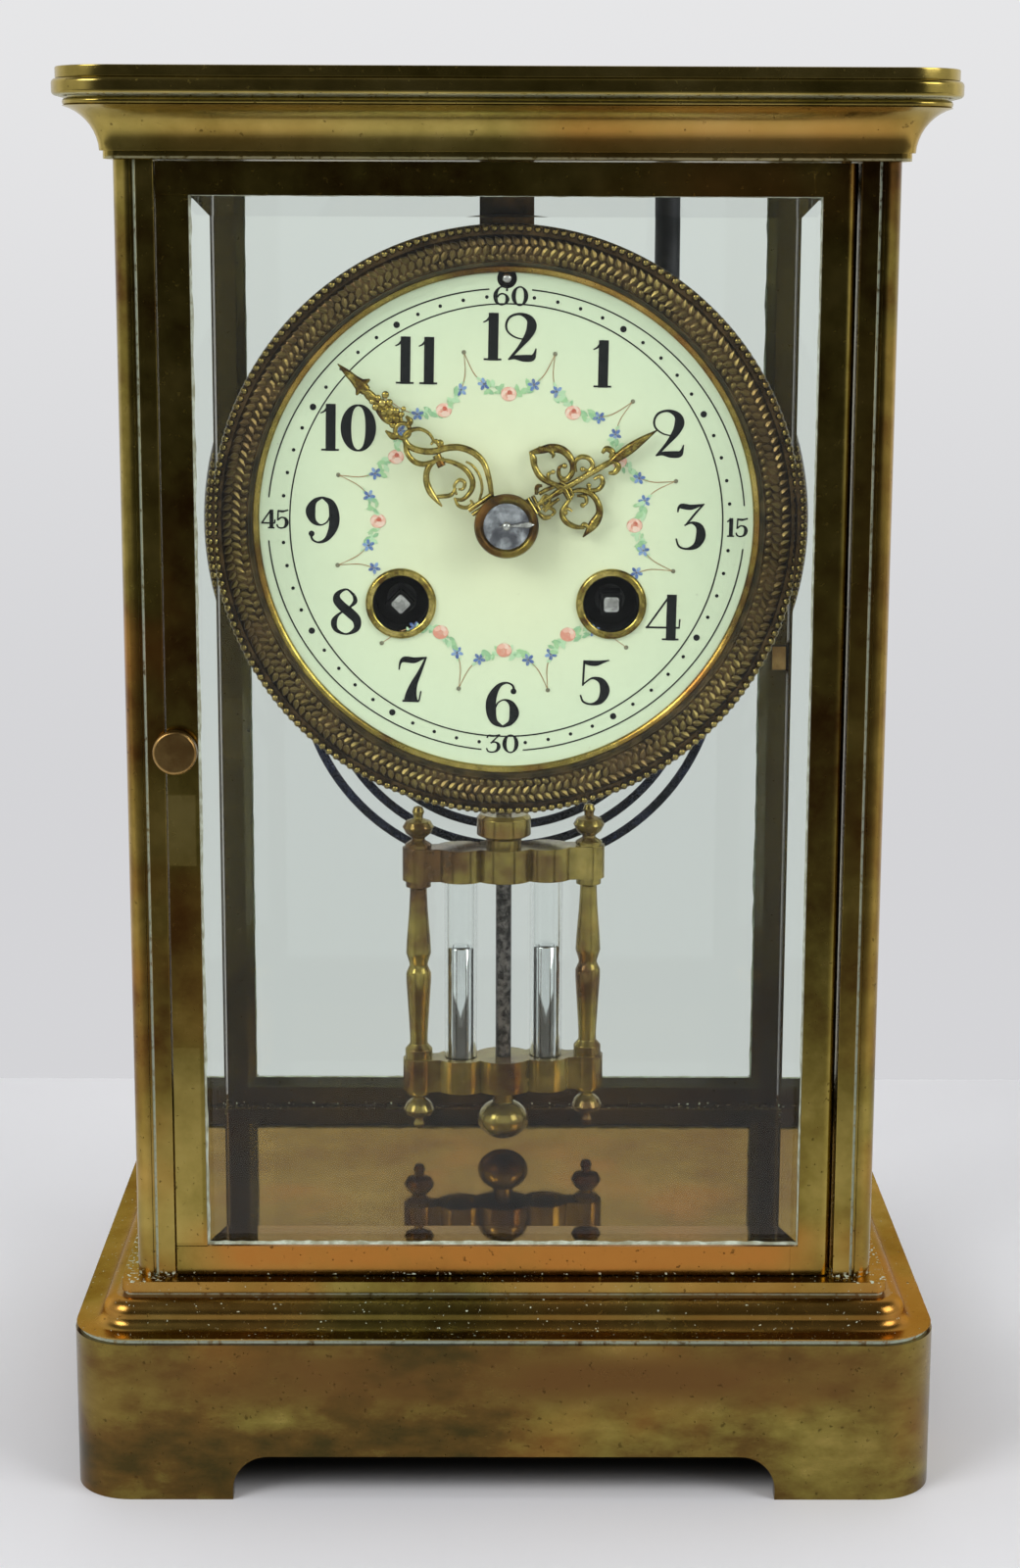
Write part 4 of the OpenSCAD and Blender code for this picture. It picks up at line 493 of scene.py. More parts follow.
def addShape(name, bm, look, body, stands=(), sharp=40):
    # a piece from a worked shape, with the named finishes
    addPiece(name, newMesh(name, bm, *(finish[key] for key in look.split())), body, stands, sharp)


def settled(obj, name):
    # the evaluated object as a plain mesh, and the working object thrown away
    mesh = bpy.data.meshes.new_from_object(obj.evaluated_get(bpy.context.evaluated_depsgraph_get()))
    mesh.name = name
    bpy.data.objects.remove(obj)
    return mesh


# Pieces with their sharp edges eased, as hand polishing leaves them: widths in mm
eased = {"plinth": 0.35, "base_moulding": 0.15, "base_floor": 0.1, "cornice": 0.12, "cornice_lid": 0.25,
         "post_front_left": 0.14, "post_front_right": 0.14, "post_rear_left": 0.14, "post_rear_right": 0.14,
         "front_door_frame": 0.14, "rear_door_frame": 0.14, "front_latch": 0.12, "rear_latch": 0.12}
easing = {"join": 2e-6, "flat": 0.6, "least": 35, "segments": 2, "sharp": 30, "weight": 100}


def easeEdges(node, width):
    bm = bmesh.new()
    bm.from_mesh(nodes[node].data)
    bmesh.ops.remove_doubles(bm, verts=bm.verts, dist=easing["join"])
    bmesh.ops.dissolve_limit(bm, angle_limit=math.radians(easing["flat"]), verts=bm.verts, edges=bm.edges)
    work = newObject(node + "Work", newMesh(node, bm))
    bevel = work.modifiers.new("ease", "BEVEL")
    bevel.width, bevel.segments = width * mm, easing["segments"]
    bevel.limit_method, bevel.angle_limit = "ANGLE", math.radians(easing["least"])
    mesh = settled(work, node + "Bevelled")
    mesh.materials.clear()
    mesh.materials.append(nodes[node].material_slots[0].material)
    smoothen(mesh, easing["sharp"])
    # wide faces keep their own direction, so that they mirror like flat sheets
    work = newObject(node + "Work", mesh)
    weigh = work.modifiers.new("weigh", "WEIGHTED_NORMAL")
    weigh.keep_sharp, weigh.weight = True, easing["weight"]
    addPiece(node + "Eased", settled(work, node + "Eased"), bodyOf[node], [node], 0)


for node, width in eased.items():
    easeEdges(node, width)
print("case edges eased:", len(eased))


# Dial: glazed enamel, printed numbers and hand-painted swags
dial = {"centre": (0.0, 180.0), "front": -42.0, "print": 0.04, "paint": 0.07, "coat": 0.002, "coats": 24,
        "turn": -0.9, "hourR": 33.6, "weight": 1.17, "hourHeight": 8.5, "hourGap": 6, "elevenGap": 10,
        "trackOuter": 42.2, "trackInner": 39.5, "trackLine": 0.25, "trackSteps": 72, "trackClear": 5.2, "sideways": 1.3,
        "dotR": 40.85, "dot": 0.33, "bigDot": 0.6,
        "minuteR": 40.9, "minuteHeight": 3.4, "minuteGap": 7, "minuteLeast": 8.5, "minuteWiden": 0.24,
        "enamel": (0.755, 0.79, 0.54), "enamelRimTintAndShade": (0.66, 0.76, 0.55), "speck": (0.35, 0.33, 0.24),
        "ink": (0.012, 0.013, 0.014), "inkTone": (0.008, 0.009, 0.010), "inkWorn": (0.30, 0.32, 0.27),
        "wash": (0.66, 0.74, 0.55)}
hubPlace = (0.0, 0.0, dial["centre"][1])


def makeEnamel():
    f = Finish("dialEnamel")
    where = f.place()
    x, y, z = f.split(where)
    up = z - dial["centre"][1] * mm
    square = x * x + up * up
    away = square.math("SQRT", square)
    cloud = f.noise(where, 24, 3.0, 0.5)
    # towards the rim the enamel turns greener and a little darker: its own tint, and painted shade where the bezel
    # overhangs it
    tint = f.mix((away * 21.0 + cloud * 0.35).above(0.25, 1.15), dial["enamel"], dial["enamelRimTintAndShade"])
    specks = f.noise(where, 1500, 1.0, 0.4).above(0.74, 0.78)
    tint = f.mix(specks * 0.35, tint, dial["speck"])
    return f.shade({"Base Color": tint, "Roughness": 0.12 + cloud * 0.1, "Coat Weight": 0.4, "Coat Roughness": 0.06,
                    "Normal": f.bump(cloud, 0.05, 0.0006)})


def makeInk():
    f = Finish("dialInk")
    cloud = f.noise(f.place(), 900, 2.0, 0.6)
    worn = f.mix(cloud.above(0.68, 0.8) * 0.2, dial["inkTone"], dial["inkWorn"])
    return f.shade({"Base Color": worn, "Roughness": 0.3 + cloud * 0.15, "Specular IOR Level": 0.12})


def makePaint():
    f = Finish("swagPaint")
    hue = f.out(f.node("Attribute", attribute_name="hue"), "Color")
    cloud = f.noise(f.place(), 1400, 2.0, 0.6)
    washed = f.mix(cloud.above(0.4, 0.8) * 0.3, hue, dial["wash"])
    return f.shade({"Base Color": washed, "Roughness": 0.25 + cloud * 0.1, "Coat Weight": 0.3})


finish.update({"dialEnamel": makeEnamel(), "dialInk": makeInk(), "swagPaint": makePaint()})
wear("dialEnamel", "dial")


def smoothPath(points, steps=6):
    # Catmull-Rom through rows of numbers
    rows = [tuple(p) for p in points]
    if len(rows) < 3:
        return rows
    before, after = ([tuple(2 * a - b for a, b in zip(p, q))] for p, q in (rows[:2], (rows[-1], rows[-2])))
    ends = before + rows + after
    path = []
    for p0, p1, p2, p3 in zip(ends, ends[1:], ends[2:], ends[3:]):
        for k in range(steps):
            t = k / steps
            path.append(tuple(0.5 * (2 * b + (c - a) * t + (2 * a - 5 * b + 4 * c - d) * t * t
                                     + (3 * b - a - 3 * c + d) * t ** 3) for a, b, c, d in zip(p0, p1, p2, p3)))
    return path + [rows[-1]]


def withNormals(path):
    # each row of a flat path with the direction across it
    for k, row in enumerate(path):
        ax, az = path[max(k - 1, 0)][:2]
        bx, bz = path[min(k + 1, len(path) - 1)][:2]
        long = math.hypot(bx - ax, bz - az) or 1.0
        yield (*row, -(bz - az) / long, (bx - ax) / long)


# Strokes of the figures, in hundredths of their height: rows of across, up and width; balls are across, up and radius
figures = {
    "0": {"wide": 70, "strokes": [
        [(35 + 26.5 * math.sin(a), 50 + 48 * math.cos(a), 3.5 + 16 * abs(math.sin(a)) ** 1.6)
         for a in (k * math.pi / 12 for k in range(25))]]},
    "1": {"wide": 40, "strokes": [
        [(22, 0, 18), (22, 100, 18)], [(2, 2.5, 3.5), (40, 2.5, 3.5)],
        [(0, 80, 2), (8, 84, 3.5), (16, 93, 5), (22, 99, 5)]]},
    "2": {"wide": 68, "strokes": [
        [(44, 45, 2), (22, 50, 3), (6, 62, 3.5), (3, 78, 4), (12, 93, 4.5), (32, 98.5, 5), (51, 90, 12),
         (57, 74, 18), (50, 54, 14), (32, 29, 7), (10, 3, 4)],
        [(8, 3, 3), (22, 7.5, 7), (40, 6, 12), (58, 7, 12), (64, 15, 6), (67, 27, 2)]]},
    "3": {"wide": 66, "strokes": [
        [(5, 80, 2.5), (7, 90, 5), (14, 93.5, 10), (32, 91.5, 10), (48, 95, 6), (62, 98.5, 2)],
        [(60, 98, 3), (44, 80, 4), (24, 54, 4)],
        [(20, 52, 3), (36, 58.5, 4.5), (52, 50, 13), (56, 30, 18), (47, 10, 12), (28, 2, 4.5), (10, 7, 4),
         (3, 24, 3)]]},
    "4": {"wide": 74, "strokes": [
        [(55, 0, 18), (55, 100, 18)], [(36, 2.5, 3.5), (72, 2.5, 3.5)], [(50, 97, 3.5), (3, 28, 3.5)],
        [(0, 28, 3.5), (74, 28, 3.5)], [(72.5, 28, 2), (73.5, 47, 3)]]},
    "5": {"wide": 66, "strokes": [
        [(8, 97, 3), (18, 93, 9), (36, 92, 10), (52, 96, 5), (64, 99, 2)], [(10, 97, 4), (8, 42, 3.5)],
        [(9, 46, 3), (28, 59, 4), (48, 53, 12), (56, 32, 18), (47, 10, 12), (28, 2, 4.5), (10, 7, 4), (3, 22, 3)]]},
    "6": {"wide": 72, "strokes": [
        [(60, 80, 5), (56, 93, 4), (42, 98.5, 4), (25, 90, 9), (12, 66, 17), (10, 40, 19), (17, 14, 13),
         (36, 1.5, 4)],
        [(36, 1.5, 4), (53, 11, 10), (61, 31, 18), (55, 52, 11), (40, 61, 3.5), (26, 55, 3), (19, 42, 3)]],
        "balls": [(58.5, 80, 6.5)]},
    "7": {"wide": 62, "strokes": [
        [(2, 70, 2.5), (5, 86, 5), (14, 93, 11), (34, 91.5, 11), (50, 95.5, 6), (62, 98.5, 2)],
        [(60, 97.5, 3.5), (47, 66, 7.5), (35, 40, 13), (29, 18, 20), (28, 0, 27)], [(10, 2, 4), (46, 2, 4)],
        [(46, 2, 2), (50, 24, 3)]]},
    "8": {"wide": 66, "strokes": [
        [(50, 86, 6), (34, 98.5, 3.5), (16, 90, 9), (13, 76, 15), (24, 62, 17), (42, 47, 18), (56, 32, 16),
         (55, 13, 11), (34, 1.5, 3.5), (12, 10, 8), (7, 28, 11), (17, 44, 5), (38, 58, 3.5), (52, 72, 8),
         (50, 86, 6)]]},
}
six = figures["6"]


def upended(rows):
    return [(six["wide"] - x, 100 - y, w) for x, y, w in rows]


figures["9"] = {"wide": six["wide"], "strokes": [upended(stroke) for stroke in six["strokes"]],
                "balls": upended(six["balls"])}


class FlatArt:
    # flat painted shapes on the front of the dial, with a colour on each corner
    def __init__(self, lift):
        self.bm = bmesh.new()
        self.hue = self.bm.loops.layers.float_color.new("hue")
        self.depth = dial["front"] - lift
        self.coat = 0

    def face(self, points, colour):
        # every stroke lies a hair over the last ones, so that no two share a plane
        self.coat = (self.coat + 1) % dial["coats"]
        depth = self.depth - self.coat * dial["coat"]
        made = self.bm.faces.new([vert(self.bm, x, depth, hubPlace[2] + z) for x, z in points])
        made.normal_update()
        if made.normal.y > 0:
            made.normal_flip()
        for loop in made.loops:
            loop[self.hue] = (*colour, 1)

    def disc(self, x, z, r, colour, sides=14, squash=1.0, turn=0.0):
        c, s = math.cos(turn), math.sin(turn)
        ring = [(r * math.cos(a), r * squash * math.sin(a)) for a in (k * math.tau / sides for k in range(sides))]
        self.face([(x + c * u - s * v, z + s * u + c * v) for u, v in ring], colour)

    def ribbon(self, path, colour):
        # path rows are across, up and width
        edges = [((x + nx * w / 2, z + nz * w / 2), (x - nx * w / 2, z - nz * w / 2))
                 for x, z, w, nx, nz in withNormals(path)]
        self.face([a for a, b in edges] + [b for a, b in reversed(edges)], colour)


def dialPoint(angle, r):
    # clock angle in degrees from twelve, with the slight turn of the dial in its bezel
    a = math.radians(angle - dial["turn"])
    return r * math.sin(a), r * math.cos(a)


def printFigures(art, text, x, z, height, gap, least=3, stretch=1.0):
    wide = sum(figures[c]["wide"] for c in text) + gap * (len(text) - 1)
    lean = math.radians(dial["turn"])
    c, s = math.cos(lean), math.sin(lean)
    start, unit = -wide / 2, height / 100

    def put(u, v):
        u, v = u * unit * stretch, (v - 50) * unit
        return x + c * u - s * v, z + s * u + c * v

    for sign in text:
        for stroke in figures[sign]["strokes"]:
            path = [(*put(start + u, v), max(w * dial["weight"], least) * unit) for u, v, w in smoothPath(stroke)]
            art.ribbon(path, dial["ink"])
        for u, v, r in figures[sign].get("balls", []):
            art.disc(*put(start + u, v), r * unit, dial["ink"])
        start += figures[sign]["wide"] + gap


def printDial(d):
    art = FlatArt(d["print"])
    for hour in range(1, 13):
        printFigures(art, str(hour), *dialPoint(30 * hour, d["hourR"]), d["hourHeight"],
                     d["hourGap"] if hour != 11 else d["elevenGap"])
    for minute, text in ((0, "60"), (15, "15"), (30, "30"), (45, "45")):
        beside = minute % 30 == 15
        printFigures(art, text, *dialPoint(6 * minute, d["minuteR"] + d["sideways"] * beside), d["minuteHeight"],
                     d["minuteGap"], d["minuteLeast"], 1.0 + d["minuteWiden"] * (not beside))
    # the outer line stops beside each quarter figure and stands further out at the sides
    for r, clear, wider in ((d["trackOuter"], d["trackClear"], d["sideways"]), (d["trackInner"], 0.0, 0.0)):
        for low in range(0, 360, 90):
            turns = [low + clear + (90 - 2 * clear) * k / d["trackSteps"] for k in range(d["trackSteps"] + 1)]
            art.ribbon([(*dialPoint(a, r + wider * math.sin(math.radians(a)) ** 2), d["trackLine"]) for a in turns],
                       d["ink"])
    for minute in range(60):
        if minute % 15:
            art.disc(*dialPoint(6 * minute, d["dotR"]), d["dot"] if minute % 5 else d["bigDot"], d["ink"], 12)
    return art.bm


# Swags: rows are degrees from the middle of the swag, radius and size; of two, the winding holes leave one end
swags = {"thread": [(15, 31.6, 0.12), (13.4, 27.9, 0.16), (10.4, 25.6, 0.12)], "pin": (15, 31.8, 0.42),
         "flower": (10.2, 25.5), "lastLeaf": (11.8, 26.6, 1.1), "rose": 23.4,
         "leaves": {"count": 9, "from": 3.0, "step": 0.8, "turn": 0.4, "r": 23.7, "climb": 0.14, "long": (1.2, 2.0)},
         "petals": {"count": 5, "ring": 0.68, "r": 0.52, "squash": 0.62, "sides": 7},
         "endLeft": {4: -1, 8: 1}, "threadHue": (0.36, 0.19, 0.07), "pinHue": (0.16, 0.15, 0.09),
         "heart": (0.10, 0.10, 0.16),
         "greens": [(0.34, 0.58, 0.30), (0.46, 0.68, 0.42), (0.27, 0.50, 0.27)],
         "blues": [(0.10, 0.19, 0.46), (0.20, 0.32, 0.60), (0.07, 0.13, 0.36)],
         "pinks": [(0.70, 0.28, 0.20), (0.82, 0.46, 0.36), (0.55, 0.10, 0.06), (0.84, 0.60, 0.50)],
         # rounds of rose petals: count, half width and height, size, hues, sides, squash and stray turn
         "rounds": [(6, 0.92, 0.8, 0.72, (1, 3), 9, 0.62, (-0.2, 0.2)),
                    (4, 0.42, 0.4, 0.5, (0, 3), 8, 0.6, (0.2, 0.6))],
         "leaf": [(-0.5, 0), (-0.2, 0.23), (0.2, 0.2), (0.5, 0), (0.2, -0.2), (-0.2, -0.23)]}


def paintSwags(w):
    rand = random.Random(11)
    art = FlatArt(dial["paint"])
    pinks = w["pinks"]

    def leaf(angle, r, long, turn, colour):
        x, z = dialPoint(angle, r)
        c, s = math.cos(turn), math.sin(turn)
        art.face([(x + long * (c * u - s * v), z + long * (s * u + c * v)) for u, v in w["leaf"]], colour)

    def flower(angle, r):
        x, z = dialPoint(angle, r)
        p = w["petals"]
        spin = rand.uniform(0, 1.2)
        for k in range(p["count"]):
            a = spin + k * math.tau / p["count"]
            art.disc(x + p["ring"] * math.cos(a), z + p["ring"] * math.sin(a), p["r"], rand.choice(w["blues"]),
                     p["sides"], p["squash"], a)
        art.disc(x, z, 0.2, w["heart"], 6)

    def rose(angle, r):
        # two rounds of petals, pale at the rim and deep at the heart
        x, z = dialPoint(angle, r)
        art.disc(x, z, 1.45, pinks[0], 14, 0.9)
        for count, wide, high, size, hues, sides, squash, stray in w["rounds"]:
            for k in range(count):
                a = k * math.tau / count + rand.uniform(*stray)
                art.disc(x + wide * math.cos(a), z + high * math.sin(a), size, pinks[hues[k % 2]], sides, squash,
                         a + 1.3)
        art.disc(x + 0.12, z + 0.3, 0.44, pinks[2], 8)
        art.disc(x - 0.1, z - 0.55, 0.5, pinks[3], 8, 0.4)

    for k in range(12):
        middle = 30 * k
        whole = k not in w["endLeft"]
        for side in (-1, 1):
            # string from the pin down to the blue flower, sagging a little
            if whole or side == w["endLeft"][k]:
                art.ribbon(smoothPath([(*dialPoint(middle + side * a, r), wide) for a, r, wide in w["thread"]]),
                           w["threadHue"])
                flower(middle + side * w["flower"][0], w["flower"][1])
            if whole:
                e = w["leaves"]
                for n in range(e["count"]):
                    a = middle + side * (e["from"] + n * e["step"]) + rand.uniform(-e["turn"], e["turn"])
                    r = e["r"] + abs(a - middle) * e["climb"] + rand.uniform(-1.0, 1.0)
                    leaf(a, r, rand.uniform(*e["long"]), rand.uniform(0, math.tau), rand.choice(w["greens"]))
                a, r, long = w["lastLeaf"]
                leaf(middle + side * a, r, long, rand.uniform(0, 3), w["greens"][1])
        a, r, wide = w["pin"]
        art.disc(*dialPoint(middle + a, r), wide, w["pinHue"], 10)
        if whole:
            rose(middle, w["rose"])
    return art.bm


addShape("dialNumbers", printDial(dial), "dialInk", "case", (), 35)
addShape("dialSwags", paintSwags(swags), "swagPaint", "case", (), 35)
print("dial printed and painted")


# Hands: pierced and chased gilt strands, drawn as they stand at nine minutes to two
handSheet = {"pivot": (790, 880), "across": 0.0491, "up": 0.0501, "steps": 7, "stout": 1.3, "lean": 1.0, "thin": 30,
             "rise": 0.94, "lowRise": 0.55, "broad": 50, "dark": 23}
minuteStrands = [
    # big scroll from the cuff over the top to its curled head
    ([(735, 772), (726, 715), (706, 655), (668, 618), (618, 600), (568, 602), (528, 613), (488, 614), (448, 604),
      (422, 585), (416, 560), (436, 540), (470, 534), (502, 548), (520, 574), (512, 590)], (14, 20, 20, 18, 12, 7)),
    ([(418, 578), (424, 618), (450, 650), (486, 660), (524, 650), (548, 640)], (14, 17, 16, 12)),
    ([(560, 640), (524, 650), (500, 678), (495, 718), (508, 756), (528, 784), (552, 812)], (10, 17, 19, 22, 5)),
    ([(536, 642), (588, 652), (636, 676), (664, 716), (660, 754), (630, 786), (600, 786)], (10, 16, 17, 15, 8)),
    ([(606, 770), (598, 738), (616, 716), (636, 726), (630, 748), (612, 750)], (7, 11, 11, 7)),
    ([(520, 776), (552, 776), (586, 770), (604, 744)], (7, 13, 13, 8)),
    ([(598, 780), (612, 808), (642, 816), (664, 802), (656, 788)], (7, 12, 12, 6)),
    ([(640, 650), (664, 664), (690, 700), (700, 748), (690, 790)], (6, 9, 9, 7)),
    ([(532, 626), (552, 668)], (24, 24)),
    # cuff at the hub
    ([(650, 826), (740, 766)], (15, 15)), ([(664, 842), (754, 782)], (13, 13)), ([(680, 856), (768, 798)], (16, 16)),
    ([(700, 866), (780, 812)], (18, 18)),
    # eye, its side leaves and the flower cluster
    ([(408 + 27 * math.cos(a), 540 + 27 * math.sin(a)) for a in (k * math.tau / 10 for k in range(11))], (13, 13)),
    ([(396, 560), (372, 560), (345, 540)], (15, 20, 6)), ([(424, 524), (436, 506), (420, 488)], (15, 18, 8)),
    ([(400, 520), (380, 498), (356, 480), (330, 456), (306, 432)], (30, 60, 68, 52, 26)),
    ([(318, 440), (290, 416), (268, 392)], (22, 28, 20)),
    # spearhead
    ([(276, 400), (252, 376), (232, 358), (204, 332), (172, 303)], (40, 46, 34, 24, 4)),
    ([(262, 372), (290, 358)], (26, 5)), ([(252, 390), (240, 414)], (26, 5)),
]
minuteBumps = [(384, 500, 17), (360, 470, 18), (384, 470, 14), (340, 474, 15), (404, 482, 12), (346, 412, 14),
               (334, 442, 16), (360, 440, 14), (310, 456, 14), (318, 424, 13), (296, 436, 11), (372, 520, 13),
               (412, 462, 10), (352, 500, 13), (545, 585, 15), (531, 578, 10), (280, 402, 9), (292, 414, 9)]
hourStrands = [
    # stem and blade
    ([(900, 812), (950, 782), (1000, 752), (1080, 706), (1150, 666), (1186, 646)], (16, 14, 20, 18, 18, 14)),
    ([(1170, 656), (1206, 632), (1244, 606), (1290, 574), (1345, 538)], (20, 36, 40, 28, 4)),
    ([(1142, 622), (1158, 606), (1180, 618), (1172, 640)], (9, 17, 18, 10)),
    ([(1166, 694), (1190, 690), (1202, 668), (1184, 650)], (9, 17, 18, 10)),
    # left scroll with its leafy top
    ([(1000, 742), (958, 732), (916, 708), (894, 672), (888, 640), (874, 616)], (10, 17, 19, 18, 20, 4)),
    ([(878, 622), (916, 612), (958, 604), (1000, 614), (1030, 648), (1034, 686), (1012, 716), (986, 708), (984, 676),
      (1004, 664)], (12, 26, 24, 18, 17, 12, 8)),
    ([(948, 726), (944, 700), (962, 690)], (7, 12, 8)), ([(1000, 614), (976, 600), (966, 596)], (16, 16, 5)),
    ([(940, 606), (962, 626), (958, 640)], (14, 12, 4)), ([(920, 612), (908, 598)], (14, 5)),
    # small scrolls beside the stem
    ([(1046, 690), (1042, 656), (1062, 636), (1092, 640), (1108, 664), (1092, 686), (1070, 676)], (9, 14, 15, 14, 8)),
    ([(1112, 716), (1136, 706), (1146, 728), (1130, 752), (1100, 756), (1092, 736)], (9, 14, 15, 14, 8)),
    # right scroll with its leaf
    ([(1026, 762), (1064, 756), (1104, 770), (1128, 802), (1134, 840), (1112, 880), (1074, 926)],
     (10, 16, 18, 19, 22, 28, 4)),
    ([(1034, 776), (1012, 806), (996, 838), (1010, 870), (1044, 888), (1080, 892)], (9, 14, 17, 17, 15, 10)),
    ([(1050, 776), (1080, 778), (1086, 800), (1072, 812)], (8, 12, 11, 7)),
    ([(1034, 832), (1014, 822), (1006, 838)], (7, 12, 10)), ([(1112, 860), (1134, 866)], (16, 4)),
    ([(1096, 892), (1078, 880), (1064, 890)], (14, 14, 5)),
    # collar on the stem and the cuff at the hub
    ([(972, 738), (1002, 752), (1026, 792)], (17, 20, 17)), ([(986, 724), (1020, 744), (1038, 776)], (9, 11, 9)),
    ([(866, 786), (900, 842)], (18, 18)), ([(886, 776), (914, 830)], (12, 12)),
    ([(900, 772), (904, 744), (922, 740)], (10, 14, 8)), ([(908, 838), (930, 856), (954, 852)], (10, 15, 12)),
    ([(916, 796), (934, 776), (950, 796), (934, 812), (916, 800)], (8, 11, 11, 8)),
    ([(930, 834), (948, 820), (968, 834), (956, 850)], (8, 11, 11, 8)),
    ([(910, 770), (934, 756), (966, 744)], (12, 13, 10)), ([(924, 826), (952, 810), (986, 786)], (12, 13, 10)),
]
hourBumps = [(1004, 668, 11), (1070, 680, 10), (1094, 738, 10), (1072, 810, 10), (962, 690, 9), (1008, 838, 10)] \
    + [(1040 + 15 * k, 730 - 8.7 * k, 11) for k in range(8)]
hands = {"minute": {"strands": minuteStrands, "bumps": minuteBumps, "front": -46.4, "back": -45.7},
         "hour": {"strands": hourStrands, "bumps": hourBumps, "front": -44.4, "back": -43.7}}
strandShape = [(-0.5, 0.0), (-0.44, 0.55), (-0.2, 0.92), (0.0, 1.0), (0.2, 0.92), (0.44, 0.55), (0.5, 0.0)]
boss = {"rows": [(1.0, 0.0), (0.95, 0.55), (0.62, 0.9)], "sides": 10}


def outward(bm):
    bmesh.ops.recalc_face_normals(bm, faces=bm.faces)
    return bm


def stitch(bm, rings, capped=True):
    # side faces from ring to ring, and a face over each end
    rows = []
    for one, two in zip(rings, rings[1:]):
        around = zip(one, one[1:] + one[:1], two[1:] + two[:1], two)
        rows.append([bm.faces.new(corners) for corners in around])
    if capped:
        bm.faces.new(list(reversed(rings[0])))
        bm.faces.new(rings[-1])
    return rows


def onDial(u, v):
    s = handSheet
    return (u - s["pivot"][0]) * s["across"], (s["pivot"][1] - v) * s["up"]


def spreadWidths(widths, count):
    # widths along a strand, spread evenly over its points
    rows = []
    for k in range(count):
        t = k / max(count - 1, 1) * (len(widths) - 1)
        low = min(int(t), len(widths) - 2)
        rows.append(widths[low] + (widths[low + 1] - widths[low]) * (t - low))
    return rows


def chaseStrand(bm, path, back, rise):
    # a strand with a domed front and a flat back; path rows are across, up and width in mm
    rings = []
    for x, z, w, nx, nz in withNormals(path):
        high = rise * min(1.0, 0.45 + w / 1.4)
        rings.append([vert(bm, x + nx * u * w, back - h * high, hubPlace[2] + z + nz * u * w) for u, h in strandShape])
    stitch(bm, rings)


def raiseBump(bm, x, z, r, back, rise):
    # a low round boss
    turns = [k * math.tau / boss["sides"] for k in range(boss["sides"])]
    rings = [[vert(bm, x + r * f * math.cos(a), back - rise * h, hubPlace[2] + z + r * f * math.sin(a)) for a in turns]
             for f, h in boss["rows"]]
    stitch(bm, rings, False)
    top = rings[-1]
    tip = vert(bm, x, back - rise, hubPlace[2] + z)
    for one, two in zip(top, top[1:] + top[:1]):
        bm.faces.new([one, tip, two])
    bm.faces.new(rings[0])


def makeHand(kind):
    row, s = hands[kind], handSheet
    bm = bmesh.new()
    thick = row["back"] - row["front"]
    for points, widths in row["strands"]:
        most = max(widths)
        scale = s["across"] * s["stout" if most < s["thin"] else "lean"]
        path = smoothPath([(*onDial(*p), w * scale) for p, w in zip(points, spreadWidths(widths, len(points)))],
                          s["steps"])
        before = len(bm.faces)
        chaseStrand(bm, path, row["back"], thick * s["rise" if most < s["broad"] else "lowRise"])
        # painted shade: the broad strands take the darker copy of the gilt, standing in for the shade of the chased
        # relief
        bm.faces.ensure_lookup_table()
        for face in bm.faces[before:]:
            face.material_index = int(most > s["dark"])
    for u, v, r in row["bumps"]:
        raiseBump(bm, *onDial(u, v), r * s["across"], row["back"], thick)
    addShape(kind + "HandChased", outward(bm), "gilt giltDark", kind + "_work", [kind + "_hand"], 50)


makeHand("minute")
makeHand("hour")


def lathe(profile, centre, sides, closed=False, axis="y", bm=None):
    # turns rows of radius and height round an axis that points along "y" or "z", centre in mm
    bm = bmesh.new() if bm is None else bm
    x, y, z = centre
    rings = []
    for r, h in profile:
        count = sides if r > 1e-4 else 1
        flat = [(r * math.cos(a), r * math.sin(a)) for a in (k * math.tau / sides for k in range(count))]
        rings.append([vert(bm, x + u, y + h, z + v) if axis == "y" else vert(bm, x + u, y + v, z + h) for u, v in flat])
    for one, two in zip(rings, rings[1:] + rings[:1] if closed else rings[1:]):
        for k in range(sides):
            n = (k + 1) % sides
            corner = [one[k % len(one)], one[n % len(one)], two[n % len(two)], two[k % len(two)]]
            face = list(dict.fromkeys(corner))
            if len(face) > 2:
                bm.faces.new(face)
    return outward(bm)


# Hub: turned collet, a dished steel washer and the taper pin through the arbor
hub = {"collet": [(1.0, -46.5), (5.5, -46.5), (5.8, -46.7), (5.85, -47.1), (5.6, -47.5), (5.1, -47.6), (4.7, -47.45),
                  (4.4, -47.2), (1.0, -47.2)],
       "dish": [(0.75, -47.25), (2.0, -47.25), (3.2, -47.4), (3.9, -47.75), (4.15, -47.8), (4.25, -47.6),
                (4.25, -47.22), (0.75, -47.21)],
       "boss": [(0.0, -47.2), (0.72, -47.2), (0.72, -48.1), (0.5, -48.35), (0.0, -48.45)],
       "pin": [(-1.2, 0.0, 0.28), (0.3, 0.06, 0.42), (2.2, 0.18, 0.75), (3.6, 0.28, 1.05), (4.4, 0.33, 0.95),
               (5.0, 0.36, 0.25)], "pinBack": -47.82, "pinRise": 0.5}
addShape("handCollet", lathe(hub["collet"], hubPlace, 96, True), "collarBrass", "minute_work", ["hand_collet"])
addShape("colletDish", lathe(hub["dish"], hubPlace, 72, True), "dishSteel", "minute_work")
taperPin = lathe(hub["boss"], hubPlace, 24)
chaseStrand(taperPin, smoothPath(hub["pin"]), hub["pinBack"], hub["pinRise"])
addShape("taperPin", outward(taperPin), "keySteel", "minute_work")


